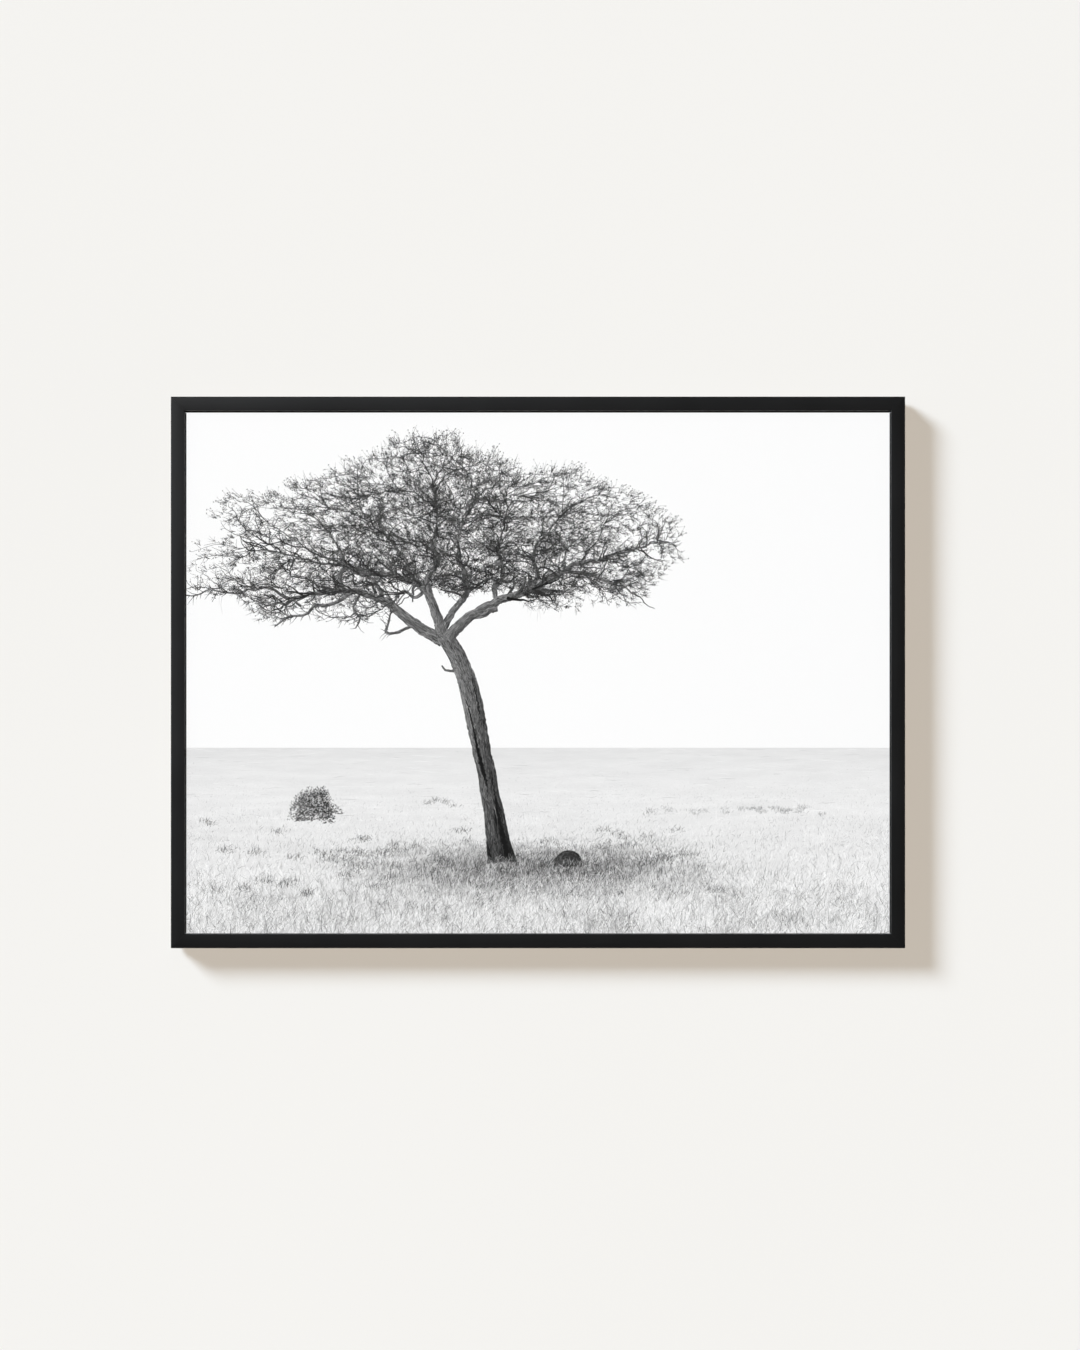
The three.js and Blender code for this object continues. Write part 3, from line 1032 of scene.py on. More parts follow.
def crown_tip(x):
    """The level at which the crown ends: lower on the left, higher on the right."""
    return 318 + 0.07 * (x - CROWN_X)


def crown_top(x):
    """The level of the crown's upper edge, with its lobes and some unrest."""
    t = np.clip(np.abs(x - CROWN_X) / CROWN_HALF, 0, 1)
    z = crown_tip(x) + (CROWN_CEILING - crown_tip(x)) * (1 - t**2.6) ** 0.8
    for middle, height, half in LOBES:
        z = z + height * np.exp(-(((x - middle) / half) ** 2))
    return z + 4 * np.sin(x / 6.7) * (1 - t) + 2 * np.sin(x / 2.7)


def crown_foot(x):
    """The level of the crown's lower edge."""
    t = np.clip(np.abs(x - CROWN_X) / CROWN_HALF, 0, 1)
    z = crown_tip(x) - (crown_tip(x) - CROWN_FLOOR) * (1 - t**5) ** 0.5
    z = z + 6 * np.exp(-(((x - 188) / 56) ** 2)) - 10 * np.exp(-(((x - 5) / 34) ** 2))
    return z + 4 * np.sin(x / 13.0) + 2 * np.sin(x / 5.3)

# %% [markdown]
# Goals are drawn at random in a box round the crown, and a goal is kept or dropped by chance: more are
# dropped where the crown is thin, near its upper edge, and in one notch on the left.

# %% Goals for the twigs
FULL_HEIGHT = 130.0  # where the crown is as tall as this, no goal is dropped for thinness


def with_depth(flat, depth=0.0):
    """Adds a third column to flat points or vectors."""
    return np.column_stack([flat, np.full(len(flat), depth)])


def goals_in_crown(rng, count, feather):
    """Points inside the outline: fewer where it is thin, and fewer near the top for a loose rim."""
    kept = []
    while sum(map(len, kept)) < count:
        x = rng.uniform(-10, 424, 4 * count)
        y = rng.uniform(-1, 1, 4 * count)
        f = rng.uniform(0, 1, 4 * count)
        low, high = crown_foot(x), crown_top(x)
        z = low + (high - low) * f
        inside = ((x - CROWN_X) / CROWN_HALF) ** 2 + y**2 < 1
        dense = np.interp(x, [0, 100, 160, 270, 330], [0.6, 0.68, 1, 1, 0.96])
        share = np.maximum((high - low) / FULL_HEIGHT, 0) ** 1.5 * dense
        inside &= rng.uniform(0, 1, len(x)) < share
        inside &= rng.uniform(0, 1, len(x)) > feather * f**3
        notch = np.exp(-(((x - 8) / 30) ** 2) - ((z - 334) / 8) ** 2)
        inside &= rng.uniform(0, 1, len(x)) > 0.95 * notch
        kept.append(np.stack([x, z, y * CROWN_DEPTH], 1)[inside])
    return np.vstack(kept)[:count]


def goals_below(rng, count):
    """A loose fringe that hangs under the left half, and a little under the right."""
    left = count * 3 // 4
    x = np.concatenate([rng.uniform(40, 178, left), rng.uniform(285, 395, count - left)])
    deep = np.interp(x, [40, 60, 100, 178, 200], [-4, 16, 26, 22, 12])
    drop = rng.uniform(-4, 1, count) + deep * rng.uniform(0.1, 1, count)
    return np.stack([x, crown_foot(x) - drop, rng.uniform(-0.6, 0.6, count) * CROWN_DEPTH], 1)

# %% [markdown]
# Each goal looks for the cheapest point to grow from. Distance costs most, a turn back costs extra,
# and so does a start far out from the fork, which keeps the limbs long. The path to the goal is a
# curve that leaves the wood along its heading and is shaken a little.

# %% Growing
FORK = np.array([218.0, 250.0, 0.0])
LAYERING = 1.6  # a rise counts for this much more than a run, so that twigs spread level
BATCH = 256  # goals handled at once, to spare memory


def best_roots(wood, heading, goals, backward):
    """For each goal the point of the wood to start from: near it, not behind, and not far out."""
    chosen = np.empty(len(goals), int)
    home = np.linalg.norm((wood - FORK) * [1, 1, 0.7], axis=1)
    layered = np.array([1, LAYERING, 1], np.float32)
    for start in range(0, len(goals), BATCH):
        gap = (goals[start:start + BATCH, None] - wood[None]).astype(np.float32)
        far = np.linalg.norm(gap, axis=2)
        along = (gap * heading[None].astype(np.float32)).sum(2) / np.maximum(far, TINY)
        cost = np.linalg.norm(gap * layered, axis=2) * (1 + backward * (1 - along)) + 0.14 * home[None]
        chosen[start:start + BATCH] = cost.argmin(1)
    return chosen


def bent_path(rng, start, bend, end, knots, wander, length):
    """A curve from start to end pulled towards bend, with its inner points shaken a little."""
    t = np.linspace(0, 1, knots)[None, :, None]
    path = (1 - t)**2 * start[:, None] + 2 * t * (1 - t) * bend[:, None] + t**2 * end[:, None]
    path[:, 1:-1] += rng.normal(0, 1, path[:, 1:-1].shape) * length[:, None, None] * wander
    step = np.diff(path, axis=1)
    return path, unit(np.concatenate([step, step[:, -1:]], 1))


def grow(rng, wood, heading, goals, knots, arch, wander, backward):
    """One round: a bent path from the wood to every goal."""
    root = best_roots(wood, heading, goals, backward)
    start, ahead = wood[root], heading[root]
    gap = goals - start
    length = np.linalg.norm(gap, axis=1)
    bend = start + ahead * length[:, None] * 0.4 + gap * 0.15
    bend += np.array([0, 1, 0]) * length[:, None] * arch
    bend += rng.normal(0, 1, start.shape) * length[:, None] * 0.08
    return bent_path(rng, start, bend, goals, knots, wander, length)

# %% [markdown]
# Twigs alone leave the crown too open. Side shoots leave the twigs at a slant, fans of short strokes
# fill the space between them, longer fans break up the rim, and a few faint twigs hang down.

# %% Side shoots and fans


def shoots(rng, path, step, each, low, high, lift):
    """Side shoots that leave every twig at a slant, to either side."""
    count, knots = path.shape[:2]
    at = rng.integers(1, knots, (count, each))
    rows = np.arange(count)[:, None]
    start = path[rows, at].reshape(-1, 3)
    ahead = step[rows, at].reshape(-1, 3)
    turn = rng.choice([-1.0, 1.0], len(start)) * np.radians(rng.uniform(20, 75, len(start)))
    c, s = np.cos(turn), np.sin(turn)
    way = np.stack([ahead[:, 0] * c - ahead[:, 1] * s, ahead[:, 0] * s + ahead[:, 1] * c, ahead[:, 2]], 1)
    way = unit(way + np.array([0, lift, 0]))
    length = rng.uniform(low, high, len(start)) * rng.uniform(0.5, 1, len(start))
    end = start + way * length[:, None]
    bend = start + (0.8 * way + 0.2 * ahead) * length[:, None] * 0.5
    bend += rng.normal(0, 0.05, start.shape) * length[:, None]
    return bent_path(rng, start, bend, end, 4, 0.03, length)


def sprays(rng, goals, each):
    """Small fans of shoots, one at every goal, that open outwards and a little upwards."""
    out = goals[:, :2] - [CROWN_X, CROWN_FLOOR - 20]
    facing = np.arctan2(0.45 * out[:, 1], out[:, 0]) + rng.normal(0, 0.42, len(goals))
    start = np.repeat(goals, each, 0)
    turn = np.repeat(facing, each) + rng.normal(0, 0.48, len(start))
    length = rng.uniform(1.6, 7, len(start))
    way = with_depth(rays(turn)) * length[:, None]
    start = start + way * rng.uniform(-0.3, 0.3, len(start))[:, None]
    return bow(start, way, across(way) * rng.normal(0, 0.06, len(start))[:, None])


def rim_sprays(rng, count, each):
    """Longer, thinner fans that break up the crown's upper edge."""
    x = rng.uniform(24, 418, count)
    z = crown_top(x) - np.abs(rng.normal(0, 6, count)) + 1
    start = np.repeat(np.stack([x, z, rng.uniform(-0.6, 0.9, count) * CROWN_DEPTH], 1), each, 0)
    lean = np.arctan2(0.8, (x - CROWN_X) / CROWN_HALF * 1.6) + rng.normal(0, 0.45, count)
    turn = np.repeat(lean, each) + rng.normal(0, 0.32, count * each)
    way = with_depth(rays(turn)) * rng.uniform(2.5, 12, len(turn))[:, None]
    return bow(start, way, across(way) * rng.normal(0, 0.1, len(turn))[:, None])


def drooping(rng, count):
    """A few faint twigs that hang from the crown's foot."""
    x = np.where(rng.uniform(0, 1, count) < 0.5, rng.uniform(20, 175, count), rng.uniform(275, 392, count))
    z = crown_foot(x) - rng.uniform(-4, 6, count)
    top = np.stack([x, z, rng.uniform(0.2, 0.8, count) * CROWN_DEPTH], 1)
    fall = np.stack([rng.normal(0, 2, count), -rng.uniform(4, 16, count), np.zeros(count)], 1)
    return bow(top, fall, np.outer(rng.normal(0, 0.8, count), [1, 0, 0]))

# %% [markdown]
# A stroke's place in the crown's third dimension sets its depth over the paper and its grey. Leaves
# are drawn as strokes too, so short and wide that they look like dots.

# %% Laying the crown's strokes


def lay_twigs(rng, path, first, last, tone):
    """Draws one round: far strokes under the boughs and lighter, near ones over them and darker."""
    count, knots = path.shape[:2]
    back = path[:, -1, 2] / CROWN_DEPTH
    rise = (path[:, -1, 1] - crown_foot(path[:, -1, 0])) / 110
    tones = tone + 42 * back + 18 * np.clip(rise, 0, 1) ** 2 + rng.normal(0, 15, count)
    depths = np.where(back > 0, 0.10 - 0.06 * back, 0.17 - 0.10 * back) + rng.uniform(0, PLY, count)
    widths = np.linspace(first, last, knots)[None] * rng.uniform(0.85, 1.15, (count, 1))
    lay(path[..., :2], widths, np.clip(tones, 30, 185), depths)


def lay_specks(rng, path, share, tone):
    """Leaves: tiny dots near the ends of the shoots."""
    tips = path[:, path.shape[1] // 2:].reshape(-1, 3)
    tips = tips[rng.choice(len(tips), int(share * len(tips)), replace=False)]
    count = len(tips)
    middle = tips[:, :2] + rng.normal(0, 0.6, (count, 2))
    size = rng.uniform(0.2, 0.55, count)
    way = rays(rng.uniform(0, math.pi, count)) * size[:, None]
    back = tips[:, 2] / CROWN_DEPTH
    depths = np.where(back > 0, 0.105 - 0.06 * back, 0.175 - 0.10 * back)
    tones = np.clip(tone + 25 * back + rng.normal(0, 8, count), 40, 170)
    lay(bow(middle - way, 2 * way, 0), taper(size, 0.6, 2.0, 0.6), tones, depths)

# %% [markdown]
# Now the crown grows. The table holds what changes from round to round.

# %% The crown, round by round
# goals in the crown and below it, points, arch, wander, first and last width, backward, feather, grey
ROUNDS = {
    "limbs": (80, 12, 12, 0.02, 0.022, 1.25, 0.6, 1.0, 0.1, 70),
    "branches": (560, 40, 8, 0.05, 0.025, 0.72, 0.4, 1.1, 0.3, 66),
    "twigs": (2400, 110, 6, 0.03, 0.03, 0.42, 0.22, 1.1, 0.75, 66),
}


def first_wood(rng):
    """The outer part of every bough, as points with headings, for the first limbs to grow from."""
    points, ways = [], []
    for name, marks in BOUGHS.items():
        if name in TWIGLESS:
            continue
        path = smooth_path(marks, 4)
        lean = 0 if name in ("left", "right", "middle") else rng.choice([-30, 30])
        line = with_depth(path[:, :2], np.linspace(0, lean, len(path)))
        outer = np.arange(len(line)) > len(line) * 0.35
        points.append(line[outer])
        ways.append(unit(np.gradient(line, axis=0))[outer])
    return np.vstack(points), np.vstack(ways)


crown_rng = np.random.default_rng(7)
wood, heading = first_wood(crown_rng)
grown = {}
for name, (inside, below, knots, arch, wander, first, last, backward, feather, tone) in ROUNDS.items():
    goals = np.vstack([goals_in_crown(crown_rng, inside, feather), goals_below(crown_rng, below)])
    path, step = grow(crown_rng, wood, heading, goals, knots, arch, wander, backward)
    grown[name] = (path, step)
    lay_twigs(crown_rng, path, first, last, tone)
    wood = np.vstack([wood, path[:, 1:].reshape(-1, 3)])
    heading = np.vstack([heading, step[:, 1:].reshape(-1, 3)])
for name, width, *rule in (("twigs", 0.34, 4, 3, 10, 0.1), ("branches", 0.38, 6, 5, 14, 0.15)):
    path, _ = shoots(crown_rng, *grown[name], *rule)
    lay_twigs(crown_rng, path, width, 0.2, 100)
    lay_specks(crown_rng, path, 0.4, 62)
path = sprays(crown_rng, np.vstack([goals_in_crown(crown_rng, 2520, 0.75), goals_below(crown_rng, 110)]), 7)
lay_twigs(crown_rng, path, 0.28, 0.14, 66)
lay_specks(crown_rng, path[::2], 0.3, 44)
path = rim_sprays(crown_rng, 270, 4)
lay_twigs(crown_rng, path, 0.28, 0.12, 90)
lay_specks(crown_rng, path, 0.8, 62)
for name, bough in wooden.items():
    if name in TWIGLESS:
        continue
    line = with_depth(bough[len(bough) // 3:, :2], -0.3 * CROWN_DEPTH)
    ways = unit(np.gradient(line, axis=0))
    path, _ = shoots(crown_rng, line[None], ways[None], len(line) // 2, 4, 15, -0.1)
    lay_twigs(crown_rng, path, 0.6, 0.2, 78)
lay_twigs(crown_rng, drooping(crown_rng, 60), 0.22, 0.12, 150)
count_strokes("crown")

# %% [markdown]
# ## The plain
#
# Grass is strokes too. Perspective sets their size: near the horizon a blade is a dot, and at the
# lower edge it is a stroke of more than a centimetre. Most are pale, on a pale ground. Under the
# crown the tree's own shade makes them darker, and far away they merge into level streaks.

# %% Where grass is dense, and where it is dark


def nearness(z):
    """0 at the horizon, 1 at the lower edge of the picture."""
    return np.clip((HORIZON - z) / HORIZON, 0, 1)


def in_shade(x, z):
    """How deep a point lies in the shade under the crown, from 0 to 1."""
    core = np.exp(-np.abs((x - 305) / 108) ** 3 - np.abs((z - 52) / 18) ** 2.6)
    rim = np.exp(-np.abs((x - 285) / 160) ** 3 - np.abs((z - 50) / 27) ** 2.6)
    return np.clip(0.4 * rim + 0.6 * core, 0, 1)


def clumps(rng, count):
    """Soft patches of denser grass: middles, half sizes and strengths, wider than tall."""
    z = HORIZON * (1 - rng.uniform(0.05, 1, count) ** 0.8)
    near = nearness(z)
    half_x = (4 + 18 * near) * rng.uniform(0.5, 1.5, count)
    x = rng.uniform(0, PICTURE_W, count)
    half_z = half_x * rng.uniform(0.2, 0.4, count)
    return x, z, half_x, half_z, rng.uniform(-0.5, 1, count)


def clump_depth(patches, x, z):
    """How dense the grass is at a point: below 0 it is thin, above 0 it grows in clumps."""
    total = np.zeros(len(x))
    for px, pz, half_x, half_z, strength in zip(*patches):
        total += strength * np.exp(-((x - px) / half_x) ** 2 - ((z - pz) / half_z) ** 2)
    return np.clip(total, -0.5, 1.2)

# %% [markdown]
# A blade is a stroke of three points that bends once. Streaks are level strokes of five points, and
# stand for far grass and bare ground, where no single blade can be made out.

# %% Blades and streaks
TRUNK_FOOT = 61.0  # what grows higher up stands behind the trunk


def blades(rng, x, z, tones, tall=1.0, wide=1.0):
    """Grass blades that stand on the given points, longer where the ground is nearer."""
    count = len(x)
    near = nearness(z)
    length = tall * (0.9 + 11.5 * near**1.5) * rng.uniform(0.3, 1.1, count)
    lean = np.radians(rng.normal(5, 32, count))
    droop = np.radians(rng.normal(10, 34, count))
    first = rays(math.pi / 2 - lean) * length[:, None] / 2
    second = rays(math.pi / 2 - lean - droop) * length[:, None] / 2
    foot = np.stack([x, z], 1)
    paths = np.stack([foot, foot + first, foot + first + second], 1)
    widths = taper(wide * (0.2 + 0.26 * near) * rng.uniform(0.6, 1.3, count), 1.0, 0.8, 0.25)
    depths = np.interp(z, [0, TRUNK_FOOT, TRUNK_FOOT + 0.01, HORIZON], [0.28, 0.18, 0.10, 0.04])
    lay(paths, widths, tones, depths + rng.uniform(0, PLY, count))


def streaks(rng, count):
    """Level streaks of far grass and bare ground."""
    z = HORIZON - 1 - 60 * rng.uniform(0, 1, count) ** 1.8
    x = rng.uniform(-BLEED, PICTURE_W + BLEED, count)
    half = rng.uniform(1.5, 9, count)
    along = half[:, None] * np.linspace(-1, 1, 5)
    wave = rng.normal(0, 0.3, (count, 5))
    paths = np.stack([np.clip(x[:, None] + along, -BLEED, PICTURE_W + BLEED), z[:, None] + wave], 2)
    widths = taper(rng.uniform(0.2, 0.6, count) * (0.5 + 1.5 * nearness(z)), 0.1, 0.8, 1, 0.8, 0.1)
    tones = rng.choice([204, 226, 246], count, p=[0.2, 0.5, 0.3])
    lay(paths, widths, tones, 0.02 + rng.uniform(0, 2 * PLY, count))

# %% [markdown]
# The plain is laid from far to near: streaks, then 26,000 blades whose grey depends on how near they
# are, on the clumps and on the shade, and last a second set that darkens the middle distance.

# %% The plain
grass_rng = np.random.default_rng(11)
streaks(grass_rng, 520)
patches = clumps(grass_rng, 170)
# a darker band and a bare strip on the right, listed one by one
bands = ([455, 520, 500, 420], [114, 94, 100, 90], [62, 46, 60, 40], [5, 4, 3, 4], [0.5, 0.45, -0.9, -0.5])
patches = [np.append(values, more) for values, more in zip(patches, bands)]
count = 26000
z = HORIZON - (HORIZON + 6) * grass_rng.uniform(0, 1, count) ** 0.6
x = grass_rng.uniform(-BLEED, PICTURE_W + BLEED, count)
shade = in_shade(x, z)
near = nearness(z)
grey = 244 - 30 * near - 44 * clump_depth(patches, x, z) * (0.35 + near) - 110 * shade
grey = grey + grass_rng.normal(0, 10 + 40 * near)
blades(grass_rng, x, z, np.clip(grey, 60, 250))
count = 7000
z = HORIZON - grass_rng.uniform(12, 84, count)
x = grass_rng.uniform(-BLEED, PICTURE_W + BLEED, count)
keep = grass_rng.uniform(0, 1, count) < 0.25 + 0.9 * clump_depth(patches, x, z)
blades(grass_rng, x[keep], z[keep], grass_rng.uniform(168, 226, keep.sum()), tall=0.55, wide=1.1)
count_strokes("plain")

# %% [markdown]
# The shade gets a second, darker and finer set of blades, and a third of light ones that catch the
# sun at its near edge. Some of both stand before the trunk, which then grows out of the grass.

# %% Shade


def tuft(rng, middle, foot, spread, rise, count, tones, tall):
    """Blades scattered around one point."""
    x = middle + rng.normal(0, spread, count)
    z = foot + rng.normal(0, rise, count)
    blades(rng, x, z, rng.uniform(*tones, count), tall=tall)


count = 9000
x = grass_rng.uniform(120, 460, count)
z = grass_rng.uniform(26, 78, count)
keep = grass_rng.uniform(0, 1, count) < in_shade(x, z) ** 1.2
x, z = x[keep], z[keep]
grey = 110 - 58 * in_shade(x, z) - 30 * clump_depth(patches, x, z) + grass_rng.normal(0, 36, len(x))
blades(grass_rng, x, z, np.clip(grey, 44, 190), tall=0.8, wide=0.9)
for _ in range(46):
    count = 36
    x = grass_rng.uniform(10, 470) + grass_rng.normal(0, 4.5, count)
    z = grass_rng.uniform(30, 86) + grass_rng.normal(0, 1.6, count)
    blades(grass_rng, x, z, grass_rng.uniform(52, 150, count), tall=0.85)
for middle, foot in ((403, 61), (388, 57), (420, 64), (352, 50), (120, 60), (146, 65), (166, 66), (215, 60)):
    tuft(grass_rng, middle, foot, 6, 2.4, 60, (40, 110), 0.9)
for first, last, foot, spread, count, darkest, tall, wide in ((150, 450, 33, 9, 800, 190, 1.25, 0.8),
                                                              (190, 480, 34, 7, 240, 205, 2.0, 0.7)):
    x = grass_rng.uniform(first, last, count)
    z = grass_rng.normal(foot, spread, count)
    blades(grass_rng, x, z, grass_rng.uniform(darkest, 250, count), tall=tall, wide=wide)
count = 2600
x = grass_rng.uniform(0, PICTURE_W, count)
z = 52 - 56 * grass_rng.uniform(0, 1, count) ** 0.8
blades(grass_rng, x, z, grass_rng.choice([130, 170, 246, 246, 246], count), tall=1.2, wide=0.75)
count_strokes("shade")

# %% [markdown]
# ## Bush, tufts and stone
#
# A bush is a dome of strokes that point away from its foot, densest and darkest low on the right. A
# few light flecks on top of them are leaves in the sun. The stone beside the trunk is one dark shape
# under hatching that turns from light to dark around it.

# %% Bush, tufts and stone
BURST = 46  # strokes in each leafy lump of the bush
STONE_RIM = [0.03, 0.2, 0.3, 0.38, 0.5, 0.6, 0.78, 0.95, 1.0, 0.97, 0.84, 0.5, 0.1]  # from left to right


def bush(rng, x, foot, half, height, lumps, dark, light):
    """A dome of leafy lumps, each a burst of strokes that point away from the lump's foot."""
    turn = rng.uniform(0, math.pi, lumps)
    out = rng.uniform(0.1, 0.8, lumps) ** 0.7
    middle = np.stack([x + half * np.cos(turn) * out, foot + height * (0.12 + np.sin(turn) * out)], 1)
    size = half * rng.uniform(0.2, 0.36, lumps)
    middle, size = np.repeat(middle, BURST, 0), np.repeat(size, BURST)
    count = lumps * BURST
    ray = rays(rng.uniform(-0.15, math.pi + 0.15, count))
    start = middle + ray * (size * rng.uniform(0.1, 0.9, count))[:, None]
    way = unit(ray + rng.normal(0, 0.4, (count, 2))) * rng.uniform(0.5, 2.3, count)[:, None]
    paths = bow(start, way, rng.normal(0, 0.12, (count, 2)))
    widths = taper(rng.uniform(0.2, 0.7, count), 0.7, 1, 0.3)
    lit = 0.35 + 0.3 * ray[:, 1] - 0.25 * ray[:, 0] - 0.3 * (start[:, 0] - x) / half
    lit = np.clip(lit + rng.normal(0, 0.25, count), 0, 1)
    depths = 0.08 + 0.05 * (1 - (start[:, 1] - foot) / height) + rng.uniform(0, PLY, count)
    lay(paths, widths, dark + (light - dark) * lit, depths)
    few = rng.choice(count, count // 12, replace=False)
    lay(paths[few], 0.7 * widths[few], rng.uniform(170, 250, len(few)), depths[few] + 0.006)


def stone(rng, x, foot, half, height):
    """A low rounded boulder: one dark ribbon, then hatching over its faces."""
    run = np.linspace(-1, 1, len(STONE_RIM))
    tall = height * np.array(STONE_RIM)
    spine = np.stack([x + half * run, foot + tall / 2], 1)
    lay(spine[None], tall[None], [52], [0.165])
    count = 420
    u = rng.uniform(-0.95, 0.95, count)
    v = rng.uniform(0.05, 0.97, count)
    middle = np.stack([x + half * u, foot + v * np.interp(u, run, tall)], 1)
    slant = np.radians(20 - 60 * u + rng.normal(0, 12, count))
    way = rays(slant) * rng.uniform(0.6, 2, count)[:, None]
    widths = taper(rng.uniform(0.25, 0.6, count), 0.4, 1, 0.4)
    grey = 62 + 62 * np.clip(v - 0.45 - 0.5 * u, 0, 1) + rng.normal(0, 12, count)
    depths = 0.168 + rng.uniform(0, PLY, count)
    lay(bow(middle - way, 2 * way, 0), widths, np.clip(grey, 30, 140), depths)

# %% [markdown]
# The bush stands on the left, low plants stand far out on the plain, and the stone lies to the right
# of the trunk. Blades in front of its foot make it lie in the grass.

# %% Planting the scrub
scrub_rng = np.random.default_rng(3)
bush(scrub_rng, 107, 88, 21, 33, 80, 16, 104)
# low plants far out on the plain: middle, foot, height and darkest grey
low_plants = [(203, 108, 2, 70), (211, 110, 3, 70), (219, 109, 3, 70), (225, 106, 2, 90), (14, 92, 2, 80),
              (18, 90, 2, 80), (470, 103, 2, 80), (484, 103, 2, 80), (497, 104, 2, 90)]
low_plants += [(scrub_rng.uniform(380, 540), 102.5 + scrub_rng.normal(0, 2), 1.6, 130) for _ in range(20)]
for middle, foot, tall, darkest in low_plants:
    tuft(scrub_rng, middle, foot, 2.6, 0.8, 30, (darkest, 215), 0.6 * tall)
stone(scrub_rng, 317, 54, 18, 14.5)
count = 420
x = scrub_rng.uniform(236, 340, count)
z = scrub_rng.uniform(48, 58, count)
blades(scrub_rng, x, z, scrub_rng.choice([68, 88, 130, 180, 226], count), tall=0.9)
count_strokes("stone")

# %% [markdown]
# ## Sky and ground
#
# Under the strokes lie two flat inked areas. The sky is nearly white and darkens a little to the
# right. The ground is a pale grey that is lighter far away, with the tree's shade as a soft patch.

# %% Flat meshes on the paper
SHEET_LOW, SHEET_HIGH = (-BLEED, -BLEED), (PICTURE_W + BLEED, PICTURE_H + BLEED)
INK_DEPTH = 0.01  # how far the two flat areas lie in front of the paper


def flat_mesh(name, points, faces, low, high):
    """Points (x, z, depth) and faces as a mesh on the paper, with a UV map from low to high."""
    place = (points[:, [0, 2, 1]] - [PICTURE_W / 2, 0, PICTURE_H / 2]) * [MM, -MM, MM]
    mesh = bpy.data.meshes.new(name)
    mesh.from_pydata(place + [0, PAPER_FRONT, 0], [], faces)
    flat = (points[faces.ravel(), :2] - low) / np.subtract(high, low)
    mesh.uv_layers.new(name="OFBake").data.foreach_set("uv", flat.ravel().astype(np.float32))
    obj = bpy.data.objects.new(name, mesh)
    scene.collection.objects.link(obj)
    obj.visible_shadow = False
    return obj


def flat_print(name, low, high, material):
    """One flat inked area between two corners."""
    (x0, z0), (x1, z1) = low, high
    corners = np.array([(x0, z0), (x1, z0), (x1, z1), (x0, z1)])
    obj = flat_mesh(name, with_depth(corners, INK_DEPTH), np.arange(4)[None], low, high)
    finish_piece(obj, material, "print_paper")

# %% [markdown]
# The inks need greys for the renderer, which counts light and not steps of grey. The sky's ramp runs
# along X and the ground's along Z, each in coordinates that run from the middle to the edges.

# %% Sky and ground
LAMPS = 1.11  # the light on the print, where 1 shows pure white as white; the inks make up for it


def grey_light(grey):
    """The share of light that an ink sends back to show as that grey, from 0 to 255."""
    g = grey / 255
    return (g / 12.92 if g <= 0.04045 else ((g + 0.055) / 1.055) ** 2.4) / LAMPS


def picture_place(tree, centre, half):
    """Object coordinates turned into picture coordinates: 0 at the centre, 1 at each half size."""
    place = add_node(tree, "TexCoord")
    mapping = add_node(tree, "Mapping")
    mapping.inputs["Scale"].default_value = (1000 / half[0], 0, 1000 / half[1])
    mapping.inputs["Location"].default_value = ((PICTURE_W / 2 - centre[0]) / half[0], 0,
                                                (PICTURE_H / 2 - centre[1]) / half[1])
    tree.links.new(place.outputs["Object"], mapping.inputs["Vector"])
    return mapping.outputs["Vector"]


def sky_ink():
    material, tree, shader = new_material("sky_ink", IOR=1.35)
    middle = (PICTURE_W / 2, PICTURE_H / 2)
    run = spread_out(tree, split(tree, picture_place(tree, middle, middle))["X"], 0.5, 1.0)
    colour = ramp(tree, run, (0.0, grey_light(253.5)), (0.55, grey_light(252)), (1.0, grey_light(250.5)))
    grain = noise(tree, object_place(tree), 900, 2, 0.5)
    colour = times(tree, colour, ramp(tree, grain, (0.3, 0.994), (0.7, 1.0)))
    coat(tree, shader, colour, spread_out(tree, grain, 0.75, 0.9))
    return material


def ground_ink():
    material, tree, shader = new_material("ground_ink", IOR=1.35)
    place = split(tree, picture_place(tree, (PICTURE_W / 2, 0), (PICTURE_W / 2, HORIZON)))
    colour = ramp(tree, place["Z"], (0.0, grey_light(214)), (0.3, grey_light(228)),
                  (0.72, grey_light(236)), (0.9, grey_light(233)), (1.0, grey_light(229)))
    shade = add_node(tree, "VectorMath", operation="LENGTH")
    tree.links.new(picture_place(tree, (288, 50), (158, 27)), shade.inputs[0])
    ragged = noise(tree, object_place(tree, (0.35, 1, 1)), 130, 4, 0.6)
    edge = maths(tree, "ADD", shade.outputs["Value"], spread_out(tree, ragged, -0.9, 0.9))
    dark = ramp(tree, edge, (0.0, 0.5), (0.6, 0.7), (1.0, 1.0))
    patches = noise(tree, object_place(tree, (0.12, 1, 1)), 190, 4, 0.6)
    colour = times(tree, times(tree, colour, dark), ramp(tree, patches, (0.35, 0.95), (0.65, 1.02)))
    coat(tree, shader, colour, spread_out(tree, ragged, 0.75, 0.9))
    return material


flat_print("print_sky", (-BLEED, HORIZON), SHEET_HIGH, sky_ink())
flat_print("print_ground", SHEET_LOW, (PICTURE_W + BLEED, HORIZON), ground_ink())

# %% [markdown]
# ## Joining the strokes
#
# All strokes of one grey become one mesh. A stroke of k points is a strip of k - 1 four-sided faces.
# The mesh gets a flat UV map that follows the picture, and an ink whose grey is a little uneven, as
# on any print: ink soaks into paper in some spots more than in others.

# %% Ink meshes
SMALLEST_AREA = 5e-6  # square millimetres; smaller faces were cut away at the edge of the paper


